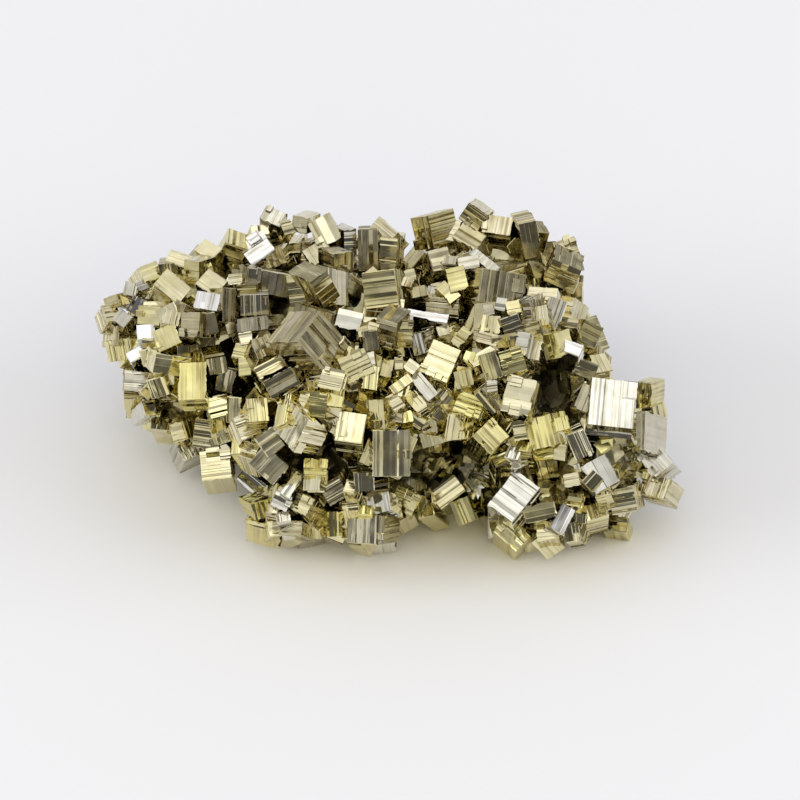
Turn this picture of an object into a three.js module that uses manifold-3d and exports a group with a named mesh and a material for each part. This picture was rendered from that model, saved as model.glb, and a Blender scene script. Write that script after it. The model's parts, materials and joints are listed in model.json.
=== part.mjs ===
import * as THREE from "three";
import Module from "manifold-3d";

const wasm = await Module();
wasm.setup();
const { Manifold } = wasm;

// The direction in which the traced crystals were measured: 42 degrees above the front
const SIGHT = (42 * Math.PI) / 180;
const RIGHT = [1, 0, 0];
const UP = [0, Math.sin(SIGHT), Math.cos(SIGHT)];
const NEAR = [0, -Math.cos(SIGHT), Math.sin(SIGHT)];
const MIDDLE = [0, 0, 9.5];

// Lobes of the core: centre and half axes
const LOBES = [
  { at: [-17, 4, 9.3], r: [8.6, 10, 8.6] },
  { at: [-4, 0, 8.8], r: [13, 15, 11] },
  { at: [10.5, 9, 10.5], r: [8.5, 8.5, 7.8] },
  { at: [20, -7.7, 6.6], r: [5.5, 7, 6.8] },
  { at: [12, -1.5, 9.2], r: [9, 10, 10.4] },
  { at: [-10.5, 9.5, 11], r: [6, 6.5, 5] },
  { at: [-9.5, -12.5, 4], r: [3.6, 3.6, 3.2] },
  { at: [-2.5, -13, 4], r: [4, 3.6, 3.2] },
  { at: [15.5, -12.5, 4], r: [5, 4, 3.4] },
];

// Rows: across, up, width, height, turn in degrees, lean right, lean up, rise over the core
const LARGE = [
  [-6.1, 3.2, 4.5, 3.9, -49.5, -0.6, 0, 4.2],
  [22.1, -2.6, 4.6, 4.8, -6, -0.05, -0.35, 3.6],
  [11.3, 8.7, 4.7, 3.5, -9, -0.25, 0, 3.2],
  [12.4, -11.7, 4.6, 3.1, 51, 0.1, -0.3, 3.2],
  [0.5, -7.5, 3.8, 4.6, 0, -0.3, 0.02, 3.8],
  [-11.9, 9.4, 4.5, 2.4, -10, -0.1, 0.1, 3],
  [-13.1, 7.1, 2.9, 2.2, 2, -0.05, 0.15, 3.2],
  [-2.1, -15, 3.7, 2.9, -3, 0.3, 0.05, 3.2],
  [5.2, 1.5, 3.1, 3.7, -22, 0.05, -0.3, 3.4],
  [12.9, -1.9, 3, 3.8, -12, 0.1, -0.22, 3.4],
  [15.8, -5.3, 4.2, 3.2, 14, 0.05, -0.2, 3],
  [-0.7, 8.6, 3.4, 3.8, 7, 0.15, 0, 3.2],
  [-1.9, 12.7, 2.1, 4.2, 1, 0, 0.1, 3],
  [14.4, 13.7, 1.9, 3.7, 12, -0.15, 0.25, 3],
  [-19.2, -0.4, 2.9, 3.8, 2, 0.1, -0.25, 3],
  [-21.3, 9, 3.3, 2.3, -39, -0.25, -0.3, 3],
  [-7.2, -6, 2.5, 3.4, -13, -0.5, 0.5, 3.4],
  [-6.1, 8.6, 2.2, 3, 39, -0.53, 0.27, 3.2],
  [-6.3, 14.7, 2.7, 3, 28, 0.18, -0.25, 3],
  [-3.5, -4.9, 2.8, 3, -8, 0.05, -0.35, 3.4],
  [10.2, -5.8, 2.7, 2.6, 42, -0.1, -0.25, 3.2],
  [7.2, -4.9, 2.8, 2.8, 6, -0.4, 0.5, 3],
  [20.9, -9.5, 2.8, 3.1, 30, 0.1, -0.1, 3],
  [26.3, -8, 3.4, 2.4, -50, 0.25, -0.2, 2.6],
  [23.1, -12.2, 2.7, 2.7, 10, 0.2, 0.1, 2.6],
  [17.6, 10.1, 3.3, 2.4, -23, 0.1, 0.4, 2.6],
  [-17, -8.7, 3.1, 3, 7, 0.1, -0.3, 2.8],
  [-11.6, -8.7, 3.3, 2.5, -42, 0, 0.05, 3],
  [-11.4, -6.4, 2.4, 2.2, -55, -0.1, 0.05, 2.8],
  [1.7, -12.4, 2.7, 2.7, -24, 0.2, -0.1, 3.2],
  [6, -11.4, 3.3, 2.1, 36, 0.1, -0.2, 2.4],
  [20.2, 4.2, 2.1, 2.5, -27, -0.3, 0.05, 2.8],
  [18.9, -6.7, 2, 2.6, 24, -0.1, 0.25, 3],
  [12.4, -15.4, 3, 2.4, -42, 0, -0.3, 2.4],
  [17.3, -13.9, 1.6, 2.7, -30, -0.3, -0.15, 3.4],
  [-6.7, -2.8, 1.8, 2.6, -8, 0.05, 0.35, 3.6],
];

const LEFT = [
  [-13.1, 13, 2.6, 2.3, 34, 0.1, -0.25, 2.6],
  [-14.9, 13.9, 2.1, 1.4, -19, -0.25, -0.4, 2.4],
  [-18, 12.9, 1.9, 1.5, -28, 0.2, -0.4, 2.4],
  [-15.6, 11.1, 1.6, 1.3, 10, 0, 0.4, 1.4],
  [-17.4, 9.4, 2.2, 1.9, -34, 0.1, -0.3, 2.4],
  [-17.8, 7.5, 2.2, 1.6, -9, 0.2, -0.15, 2.6],
  [-23.7, 6.1, 2.1, 1.8, -4, 0.25, 0, 2.8],
  [-23.9, 4.5, 1.7, 1.4, 3, 0, -0.2, 2.6],
  [-25, 7, 1.7, 1.7, -29, 0.1, 0.1, 2.2],
  [-27.6, 6.6, 1.3, 1.7, 8, -0.2, -0.3, 1.8],
  [-21.3, 5.9, 1.6, 1.3, -13, -0.1, -0.35, 2.6],
  [-19.4, 5.1, 1.8, 2.3, -3, 0.3, 0, 2.8],
  [-17.5, 5.2, 1.5, 2, 12, -0.1, 0.05, 2],
  [-20.9, 11.9, 2.2, 1.3, -18, 0.1, -0.3, 2.2],
  [-23.7, 10.6, 1.8, 1.6, 22, -0.2, -0.2, 2.2],
  [-22.1, 10.9, 1.6, 1, 5, 0, 0.1, 2.4],
  [-19.5, 10.4, 1.5, 2.2, -6, 0.25, 0.1, 2.4],
  [-27.8, 4.2, 1.6, 2, 4, 0.5, -0.1, 0.6],
  [-26.9, 2.7, 2.4, 2, 8, 0.4, 0.1, 1.2],
  [-25, 2.3, 1.7, 1.1, 30, 0.1, -0.2, 2.4],
  [-23.5, 3.3, 1.8, 1.1, -5, 0, 0.1, 2],
  [-23.4, 2, 1.9, 1.5, 12, 0.2, 0.1, 2.2],
  [-21.8, 3.9, 2.2, 2, 24, 0.15, -0.15, 2.6],
  [-25, -0.4, 2.3, 1.9, -4, 0, -0.12, 2.6],
  [-25, -1.7, 2.4, 0.8, 2, 0, -0.35, 2.6],
  [-21.2, 1.1, 3.2, 1.8, -8, -0.2, 0.15, 2],
  [-22.7, -1.1, 1.8, 1.8, 16, 0.1, 0.2, 2.2],
  [-24.2, -3.3, 1.3, 2.1, -20, 0.2, 0.1, 2.4],
  [-23.6, -3.1, 1.2, 1.6, 8, -0.2, -0.15, 2.6],
  [-22.4, -4.7, 2.2, 1.2, -6, 0.1, -0.25, 2.2],
  [-20.9, -5.5, 1.3, 1.8, 14, 0.3, 0.1, 2.4],
  [-19.6, -6.8, 2.4, 2.2, 25, -0.1, -0.2, 2.2],
  [-18, -5.7, 2.2, 2.6, -8, 0.1, 0.1, 2],
  [-16.9, -5.6, 2.1, 2.2, 18, 0.25, 0.15, 2.2],
  [-16.7, 1.1, 1.8, 1.6, 10, -0.1, 0.2, 2],
  [-15.9, -0.4, 1.7, 2, -12, 0.1, 0.05, 1.8],
  [-16.6, -2.9, 2, 2, 14, 0, -0.25, 2.2],
  [-15.1, -3.3, 1.4, 2.3, -6, 0.2, 0.1, 2],
  [-13.7, -4.8, 2, 2.2, 20, -0.1, -0.15, 2.2],
  [-13.5, -7.2, 1.5, 1.6, -15, 0.1, -0.3, 2.6],
  [-14.7, -6.2, 1.1, 2.6, 6, 0.2, -0.3, 2.6],
  [-15.6, 7.1, 1.3, 3, -3, -0.3, 0, 2.8],
  [-13.9, 8.6, 1.9, 1.1, 3, 0.1, 0.1, 2.6],
  [-13.3, 5.2, 2.9, 1.3, 6, 0.2, 0.02, 3],
  [-12, 2.9, 1.9, 2, 14, -0.15, -0.3, 3.2],
  [-14, 1.1, 1.2, 1.8, 8, 0.2, -0.2, 2.4],
  [-11.4, 1, 2.7, 1.2, 28, 0, -0.25, 3],
  [-10.3, -0.6, 2.8, 1.7, 29, 0, 0.05, 3.2],
];

const CENTRE = [
  [-11.4, 16.2, 2.1, 1.4, -22, 0, -0.3, 2.4],
  [-8.8, 15.3, 1.5, 1.6, -8, 0.2, 0.1, 2.2],
  [-12.8, 14.9, 1.7, 1, 8, 0, -0.2, 2],
  [-7, 12.5, 1.8, 2.4, -60, 0.2, -0.3, 3],
  [-3.7, 13.4, 1.3, 2.6, 4, -0.2, 0.1, 2.6],
  [-0.5, 14.6, 2.4, 2, -40, 0.2, -0.2, 2],
  [-4.2, 11.3, 1.8, 1.9, 3, -0.25, 0.1, 2.8],
  [-9.8, 13, 2, 1, 4, 0.1, 0.15, 2.2],
  [-8.2, 12.5, 1, 2, -8, 0.2, 0.1, 2.4],
  [-9, 8.5, 1.5, 2.8, 6, 0.15, 0.1, 2],
  [-5.4, -0.2, 2.1, 1.9, -12, 0.1, -0.25, 4],
  [-3, 1.1, 2.6, 2.4, 25, 0.1, -0.12, 3],
  [-1.5, -0.1, 1.5, 2.2, -10, -0.2, -0.15, 2.8],
  [-5.6, -1.9, 2.6, 1.7, -7, 0.1, -0.2, 3.2],
  [-10.2, -3.2, 1.2, 2.7, 18, 0.4, -0.3, 3.2],
  [-12.6, -3.2, 1.9, 2.1, 3, -0.1, -0.2, 2.6],
  [-1.1, -3.7, 1.8, 2.6, 0, 0.35, 0.1, 2.8],
  [-3.7, 5.6, 2.3, 1.7, -12, 0, -0.25, 3],
  [-1.6, 3.5, 1.4, 1.8, 8, -0.1, 0.05, 2.8],
  [-0.2, 4.2, 2, 2.6, -16, 0.2, 0.2, 2.8],
  [1.7, 4.1, 1.6, 2.6, 0, 0, 0.1, 2.8],
  [3, 3.2, 1.2, 1.9, 12, 0.2, 0.1, 2.8],
  [0.1, 12.3, 1.7, 3, -6, 0.1, 0.1, 2.4],
  [-11.6, 11.9, 2.4, 1.6, 18, 0.1, 0.2, 1.6],
  [-9.2, -10.6, 2.4, 1.1, 55, -0.1, -0.2, 3.2],
  [-7.3, -10.2, 1.6, 1.7, 0, 0.25, -0.1, 3],
  [-6.9, -8.4, 2.1, 0.9, -3, 0, -0.35, 3],
  [-5.1, -11.3, 2.1, 2.1, 30, 0.1, 0.15, 2.6],
  [-13.2, -10.7, 3.1, 1.4, -40, 0.1, 0.1, 2.8],
  [-10.3, -12.2, 1.7, 1.5, -24, 0, -0.1, 2.8],
  [-8.3, -12.5, 1.6, 1.9, -24, 0.2, -0.25, 3],
  [-9.4, -14.8, 2, 1.3, -5, 0.2, -0.1, 2.6],
  [-12.2, -13.1, 1.8, 1.6, 16, -0.2, 0.1, 2.4],
  [-5.1, -14.5, 1.5, 2.2, 4, -0.2, 0.1, 2.6],
  [-0.8, -12.4, 2.2, 1.9, 14, 0.15, -0.1, 2.8],
  [-2.2, -10.3, 1.8, 1.8, 5, -0.1, 0.1, 2.8],
  [3.7, -12.5, 1.5, 2.6, 16, 0.25, -0.2, 2.8],
  [8.6, -10.9, 2, 2.4, -27, 0.1, -0.2, 2.6],
  [7.6, -13.3, 1.9, 2.4, 21, 0.15, 0.1, 2.6],
  [8, -2.7, 2.5, 2, -20, 0.1, -0.15, 3.2],
  [5.4, -3, 2.5, 2.4, -40, -0.1, 0.08, 2.6],
  [7.5, -0.2, 1.7, 1.5, 13, 0.1, -0.1, 3.2],
  [10.1, 1, 1.7, 2.4, 18, 0.2, 0.05, 3.4],
  [12.3, 1.5, 2.2, 2.2, 16, 0, 0.05, 3.4],
  [10.1, -2.3, 2.4, 1.6, -50, -0.1, 0.2, 3],
  [3.6, -0.9, 2.6, 1.2, -50, 0.1, -0.2, 3.2],
  [2.8, -2.3, 1.7, 1.2, -49, 0.1, -0.35, 3.2],
  [0.8, -2.4, 1.6, 1.2, -50, -0.1, -0.35, 3.2],
  [1.4, -0.7, 2.2, 0.9, 35, 0, -0.2, 3.2],
  [9.5, 2.1, 2.8, 1, 30, 0.1, -0.3, 2.8],
  [11.6, 3.4, 2.4, 1.1, 6, -0.1, 0.15, 2.6],
  [4, 6.1, 3.8, 0.9, -9, 0, -0.35, 2.6],
  [5.5, 6.9, 3, 1.7, -6, 0.1, 0.2, 1.6],
  [7.3, 4, 2, 1, 50, 0.1, -0.3, 2.6],
];

const RIGHT_SIDE = [
  [7, 9.8, 1.8, 2.2, 14, 0.1, -0.3, 3],
  [6, 8.5, 1.2, 2, 38, 0.1, -0.35, 3.2],
  [5.4, 11.8, 1.9, 2, 13, -0.1, -0.2, 2.6],
  [8.1, 11.4, 2, 1.2, 10, 0.1, -0.25, 2.8],
  [8.2, 14.1, 2.5, 1.8, -32, 0.1, -0.25, 2.6],
  [6, 15, 2.4, 2.2, -12, -0.1, -0.2, 2.2],
  [3.5, 14.5, 1.6, 3, 6, 0.5, 0.15, 0.6],
  [8.7, 16.1, 2.2, 1.8, -35, 0.1, 0.1, 2],
  [11.1, 15.4, 2.6, 1.7, -7, 0.1, -0.25, 2.2],
  [9.7, 11.6, 3, 1, -40, 0.2, -0.3, 2.6],
  [18, 12.9, 2.2, 2, 18, 0.1, -0.3, 2],
  [15.3, 8, 2.7, 1.7, -4, 0.1, -0.25, 2.6],
  [15, 6, 1.5, 1.8, 12, 0.2, -0.2, 2.6],
  [16.4, 6, 3.2, 1.7, 70, -0.1, -0.1, 2.4],
  [17.8, 7, 1.3, 2.2, -8, 0.3, -0.2, 2.2],
  [16.1, 2.9, 1.4, 2.2, 10, 0.25, 0.1, 2.2],
  [10.2, 5.2, 1.7, 1.6, -5, 0.1, -0.2, 3],
  [9.9, 3.7, 2, 1.2, -15, 0.1, -0.25, 2.8],
  [12.2, 5, 1.8, 1.7, 20, -0.1, 0.1, 3],
  [13.2, 3.2, 1.2, 2.2, -6, 0.2, -0.2, 2.8],
  [13.6, 6.4, 1.1, 2.2, 6, 0.2, 0.1, 2.6],
  [14.3, 4.1, 1.6, 2.2, 14, 0.2, 0.1, 2.4],
  [14.6, 2.6, 1.1, 1.8, -12, 0.1, -0.15, 2.4],
  [18.1, 2.9, 2, 1.2, -20, 0, -0.3, 2.8],
  [19.6, 0.7, 2, 1.6, -20, -0.2, 0.1, 2.8],
  [21.3, 1.4, 1.6, 1.8, 10, -0.2, -0.35, 1.2],
  [25.5, -2, 1.4, 2.6, -8, 0.3, 0.1, 2],
  [25, -5.4, 0.9, 3.6, 5, 0.35, -0.1, 2.4],
  [15.4, -7.7, 2.1, 1, 6, 0.1, -0.3, 2.8],
  [17, -6.8, 1.2, 2.6, -10, 0.25, 0.1, 2.4],
  [22.6, -14.5, 2.2, 1.4, -6, 0.1, -0.2, 2.2],
  [26.5, -10.8, 2.6, 2, -14, 0.25, -0.2, 2],
  [20.5, -13.2, 2.2, 1.4, 14, 0, -0.25, 2.6],
  [15.7, -15.1, 2, 1.8, 6, 0.1, -0.2, 2.2],
  [18.2, -15.3, 1.4, 1.8, 10, 0.1, -0.1, 2],
  [13, -5.3, 1.2, 1.8, 8, 0.1, 0.1, 2.6],
  [15, -13.3, 2.8, 1.6, 12, 0.1, 0.1, 2.4],
];

const TRACED = [...LARGE, ...LEFT, ...CENTRE, ...RIGHT_SIDE];

// How many filling crystals each lobe is offered, and the range of their edges
const FILL = [
  { count: 26, small: 3, large: 4.6 },
  { count: 52, small: 3, large: 5 },
  { count: 28, small: 3, large: 4.6 },
  { count: 22, small: 2.8, large: 4.2 },
  { count: 34, small: 3, large: 4.8 },
  { count: 18, small: 2.6, large: 4 },
  { count: 6, small: 2, large: 3 },
  { count: 6, small: 2, large: 3 },
  { count: 8, small: 2, large: 3 },
];
const GOLDEN = Math.PI * (3 - Math.sqrt(5));

const add = (p, q, k = 1) => [p[0] + q[0] * k, p[1] + q[1] * k, p[2] + q[2] * k];
const dot = (p, q) => p[0] * q[0] + p[1] * q[1] + p[2] * q[2];
const cross = (p, q) => [
  p[1] * q[2] - p[2] * q[1],
  p[2] * q[0] - p[0] * q[2],
  p[0] * q[1] - p[1] * q[0],
];
const unit = (p) => {
  const n = Math.sqrt(dot(p, p));
  return [p[0] / n, p[1] / n, p[2] / n];
};

// A repeatable number between 0 and 1 for a crystal's number and a use
function chance(number, use) {
  let h = Math.imul(number + 1, 374761393) + Math.imul(use + 1, 668265263);
  h = Math.imul(h ^ (h >>> 13), 1274126177);
  h ^= h >>> 16;
  return (h >>> 0) / 4294967296;
}

// Where the line of sight through a point first meets the core, measured toward the viewer
function coreDepth(across, up) {
  const from = add(add(MIDDLE, RIGHT, across), UP, up);
  let hit = null;
  let miss = null;
  for (const { at, r } of LOBES) {
    const d = NEAR.map((v, i) => v / r[i]);
    const o = from.map((v, i) => (v - at[i]) / r[i]);
    const a = dot(d, d);
    const b = dot(d, o);
    const disc = b * b - a * (dot(o, o) - 1);
    if (disc >= 0) {
      const t = (-b + Math.sqrt(disc)) / a;
      if (hit === null || t > hit) hit = t;
    } else if (miss === null || disc > miss.disc) miss = { disc, t: -b / a };
  }
  return hit === null ? miss.t : hit;
}

// A box given by its front face's centre, its edge directions and its edges
function crystal(front, e1, e2, n, width, height, depth) {
  const c = add(front, n, -depth / 2);
  return { c, e1, e2, n, width, height, depth };
}

const crystals = [];

function traced([across, up, width, height, turn, leanR, leanU, rise]) {
  const nz = Math.sqrt(1 - leanR * leanR - leanU * leanU);
  const co = Math.cos((turn * Math.PI) / 180);
  const si = Math.sin((turn * Math.PI) / 180);
  const n = add(add([NEAR[0] * nz, NEAR[1] * nz, NEAR[2] * nz], RIGHT, -leanR), UP, -leanU);
  const q = (leanR * co + leanU * si) / nz;
  const e1 = unit(add(add([NEAR[0] * q, NEAR[1] * q, NEAR[2] * q], RIGHT, co), UP, si));
  const e2 = cross(n, e1);
  const flat = (e) => Math.sqrt(1 - dot(e, NEAR) ** 2);
  const w = width / flat(e1);
  const h = height / flat(e2);
  const t = coreDepth(across, up) + rise;
  const front = add(add(add(MIDDLE, RIGHT, across), UP, up), NEAR, t);
  crystals.push(crystal(front, e1, e2, n, w, h, Math.max(w, h, rise + 1)));
}

// A turn taken from three repeatable numbers, as three edge directions
function turned(number) {
  const u = chance(number, 1);
  const a = 2 * Math.PI * chance(number, 2);
  const b = 2 * Math.PI * chance(number, 3);
  const x = Math.sqrt(1 - u) * Math.sin(a);
  const y = Math.sqrt(1 - u) * Math.cos(a);
  const z = Math.sqrt(u) * Math.sin(b);
  const w = Math.sqrt(u) * Math.cos(b);
  return [
    [1 - 2 * (y * y + z * z), 2 * (x * y + z * w), 2 * (x * z - y * w)],
    [2 * (x * y - z * w), 1 - 2 * (x * x + z * z), 2 * (y * z + x * w)],
    [2 * (x * z + y * w), 2 * (y * z - x * w), 1 - 2 * (x * x + y * y)],
  ];
}

// Whether a point of the core lies behind one of the traced crystals
function covered(p) {
  const from = add(p, MIDDLE, -1);
  const across = dot(from, RIGHT);
  const up = dot(from, UP);
  return TRACED.some(
    ([a, u, width, height]) =>
      Math.hypot(a - across, u - up) < 0.5 * Math.max(width, height) + 0.4,
  );
}

function fill() {
  let number = 0;
  LOBES.forEach(({ at, r }, lobe) => {
    const { count, small, large } = FILL[lobe];
    for (let i = 0; i < count; i += 1) {
      number += 1;
      const z = 1 - (2 * i + 1) / count;
      const ring = Math.sqrt(1 - z * z);
      const s = [ring * Math.cos(i * GOLDEN), ring * Math.sin(i * GOLDEN), z];
      const p = at.map((v, k) => v + s[k] * r[k]);
      const out = unit(s.map((v, k) => v / r[k]));
      const inside = LOBES.some(
        (other, k) =>
          k !== lobe &&
          other.at.reduce((sum, v, j) => sum + ((p[j] - v) / other.r[j]) ** 2, 0) < 0.92,
      );
      if (inside || p[2] < -0.5) continue;
      const facing = dot(out, NEAR);
      if (facing > 0.3 && covered(p)) continue;
      const edge = small + (large - small) * chance(number, 4) ** 1.4;
      const size = facing > -0.35 ? Math.min(edge, 3) : edge;
      const rise = size * (facing > -0.35 ? 0.35 : 0.62);
      const [e1, e2, n] = turned(number);
      const c = add(p, out, rise - 0.5 * size);
      const long = size * (0.85 + 0.4 * chance(number, 5));
      crystals.push({ c, e1, e2, n, width: size, height: size, depth: long });
    }
  });
}

function box({ c, e1, e2, n, width, height, depth }) {
  return Manifold.cube([width, height, depth], true).transform([
    e1[0], e1[1], e1[2], 0,
    e2[0], e2[1], e2[2], 0,
    n[0], n[1], n[2], 0,
    c[0], c[1], c[2], 1,
  ]);
}

TRACED.forEach(traced);
fill();

const core = LOBES.map(({ at, r }) => Manifold.sphere(1, 12).scale(r).translate(at));
const grown = Manifold.union([...core, ...crystals.map(box)]).trimByPlane([0, 0, 1], 0);
const whole = grown.decompose().reduce((a, b) => (a.volume() > b.volume() ? a : b));

const mesh = whole.getMesh();
const position = new Float32Array(mesh.numVert * 3);
for (let i = 0; i < mesh.numVert; i += 1) {
  for (let k = 0; k < 3; k += 1) {
    position[3 * i + k] = mesh.vertProperties[i * mesh.numProp + k];
  }
}
const geometry = new THREE.BufferGeometry();
geometry.setAttribute("position", new THREE.BufferAttribute(position, 3));
geometry.setIndex(new THREE.BufferAttribute(new Uint32Array(mesh.triVerts), 1));

const pyrite = new THREE.MeshStandardMaterial({ color: 0x9e8c5c, roughness: 0.25, metalness: 1 });
const cluster = new THREE.Mesh(geometry, pyrite);
cluster.name = "pyrite_cluster";
const part = new THREE.Group();
part.name = "pyrite_specimen";
part.add(cluster);
export default part;
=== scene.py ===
# A pyrite specimen: one cluster of striated cubes, grown together and cut off flat underneath.
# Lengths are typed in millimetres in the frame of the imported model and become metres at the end.
import json
import math

import bmesh
import bpy
import numpy as np
from mathutils import Matrix, Vector

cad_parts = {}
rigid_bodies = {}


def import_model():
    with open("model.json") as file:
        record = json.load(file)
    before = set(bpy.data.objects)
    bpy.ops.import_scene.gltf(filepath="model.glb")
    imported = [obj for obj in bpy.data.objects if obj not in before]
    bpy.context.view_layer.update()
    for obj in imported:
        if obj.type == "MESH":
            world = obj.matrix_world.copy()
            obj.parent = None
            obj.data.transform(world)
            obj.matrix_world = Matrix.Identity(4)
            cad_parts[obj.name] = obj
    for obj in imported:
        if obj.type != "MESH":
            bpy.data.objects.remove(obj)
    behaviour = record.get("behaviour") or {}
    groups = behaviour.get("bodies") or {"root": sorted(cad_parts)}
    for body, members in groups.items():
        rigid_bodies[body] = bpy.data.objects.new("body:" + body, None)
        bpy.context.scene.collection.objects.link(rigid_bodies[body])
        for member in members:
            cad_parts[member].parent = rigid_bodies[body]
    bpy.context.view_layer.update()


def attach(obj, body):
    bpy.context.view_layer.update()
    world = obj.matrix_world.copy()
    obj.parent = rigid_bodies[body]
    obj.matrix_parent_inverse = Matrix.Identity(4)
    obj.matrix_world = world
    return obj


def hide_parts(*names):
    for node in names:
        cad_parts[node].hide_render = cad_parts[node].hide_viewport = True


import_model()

MM = 0.001
SIGHT = math.radians(42)
RIGHT = np.array([1.0, 0.0, 0.0])
UP = np.array([0.0, math.sin(SIGHT), math.cos(SIGHT)])
NEAR = np.array([0.0, -math.cos(SIGHT), math.sin(SIGHT)])
VIEW = (RIGHT, UP, NEAR)
MIDDLE = np.array([0.0, 0.0, 9.5])

# Lobes of the core: centre and half axes
LOBES = [
    (np.array([-17.0, 4.0, 9.3]), np.array([8.6, 10.0, 8.6])),
    (np.array([-4.0, 0.0, 8.8]), np.array([13.0, 15.0, 11.0])),
    (np.array([10.5, 9.0, 10.5]), np.array([8.5, 8.5, 7.8])),
    (np.array([20.0, -7.7, 6.6]), np.array([5.5, 7.0, 6.8])),
    (np.array([12.0, -1.5, 9.2]), np.array([9.0, 10.0, 10.4])),
    (np.array([-10.5, 9.5, 11.0]), np.array([6.0, 6.5, 5.0])),
    (np.array([-9.5, -12.5, 4.0]), np.array([3.6, 3.6, 3.2])),
    (np.array([-2.5, -13.0, 4.0]), np.array([4.0, 3.6, 3.2])),
    (np.array([15.5, -12.5, 4.0]), np.array([5.0, 4.0, 3.4])),
]

# Rows: across, up, width, height, turn in degrees, lean right, lean up, rise over the core;
# then, where it was seen, the edge that the front face's striations follow, the look
# and, on a few, the share of its striations that are steep
LARGE = [
    (-6.1, 3.2, 4.5, 3.9, -49.5, -0.6, 0, 4.2, "w", "dark", 0.5),
    (22.1, -2.6, 4.6, 4.8, -6, -0.05, -0.35, 3.6, "h", "grey"),
    (11.3, 8.7, 4.7, 3.5, -9, -0.25, 0, 3.2, "h", "dark"),
    (12.4, -11.7, 4.6, 3.1, 51, 0.1, -0.3, 3.2, "h", "grey", 0.3),
    (0.5, -7.5, 3.8, 4.6, 0, -0.3, 0.02, 3.8, "h", "brown", 0.55),
    (-11.9, 9.4, 4.5, 2.4, -10, -0.1, 0.1, 3, "h", "slate"),
    (-13.1, 7.1, 2.9, 2.2, 2, -0.05, 0.15, 3.2, "h", "slate"),
    (-2.1, -15, 3.7, 2.9, -3, 0.3, 0.05, 3.2, "h", "beige", 0.1),
    (5.2, 1.5, 3.1, 3.7, -22, 0.05, -0.3, 3.4, "w", "cream", 0.15),
    (12.9, -1.9, 3, 3.8, -12, 0.1, -0.22, 3.4, "w", "beige"),
    (15.8, -5.3, 4.2, 3.2, 14, 0.05, -0.2, 3, "h", "yellow"),
    (-0.7, 8.6, 3.4, 3.8, 7, 0.15, 0, 3.2, "w", "olive"),
    (-1.9, 12.7, 2.1, 4.2, 1, 0, 0.1, 3, "h", "dark"),
    (14.4, 13.7, 1.9, 3.7, 12, -0.15, 0.25, 3, "h", "dark"),
    (-19.2, -0.4, 2.9, 3.8, 2, 0.1, -0.25, 3, "h", "yellow"),
    (-21.3, 9, 3.3, 2.3, -39, -0.25, -0.3, 3, "w", "cream"),
    (-7.2, -6, 2.5, 3.4, -13, -0.5, 0.5, 3.4, "w", "beige"),
    (-6.1, 8.6, 2.2, 3, 39, -0.53, 0.27, 3.2, "w", "olive"),
    (-6.3, 14.7, 2.7, 3, 28, 0.18, -0.25, 3, "h", "beige"),
    (-3.5, -4.9, 2.8, 3, -8, 0.05, -0.35, 3.4, "h", "cream", 0.08),
    (10.2, -5.8, 2.7, 2.6, 42, -0.1, -0.25, 3.2, "h", "yellow"),
    (7.2, -4.9, 2.8, 2.8, 6, -0.4, 0.5, 3, "h", "olive"),
    (20.9, -9.5, 2.8, 3.1, 30, 0.1, -0.1, 3, "h", "grey"),
    (26.3, -8, 3.4, 2.4, -50, 0.25, -0.2, 2.6, "w", "grey"),
    (23.1, -12.2, 2.7, 2.7, 10, 0.2, 0.1, 2.6, "w", "dark"),
    (17.6, 10.1, 3.3, 2.4, -23, 0.1, 0.4, 2.6, "w", "olive"),
    (-17, -8.7, 3.1, 3, 7, 0.1, -0.3, 2.8, "w", "cream"),
    (-11.6, -8.7, 3.3, 2.5, -42, 0, 0.05, 3, "h", "dark"),
    (-11.4, -6.4, 2.4, 2.2, -55, -0.1, 0.05, 2.8, "h", "brown"),
    (1.7, -12.4, 2.7, 2.7, -24, 0.2, -0.1, 3.2, "w", "olive"),
    (6, -11.4, 3.3, 2.1, 36, 0.1, -0.2, 2.4, "w", "olive"),
    (20.2, 4.2, 2.1, 2.5, -27, -0.3, 0.05, 2.8, "w", "olive"),
    (18.9, -6.7, 2, 2.6, 24, -0.1, 0.25, 3, "h", "beige"),
    (12.4, -15.4, 3, 2.4, -42, 0, -0.3, 2.4, "w", "gold"),
    (17.3, -13.9, 1.6, 2.7, -30, -0.3, -0.15, 3.4, "h", "white"),
    (-6.7, -2.8, 1.8, 2.6, -8, 0.05, 0.35, 3.6, "w", "yellow"),
]
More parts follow.
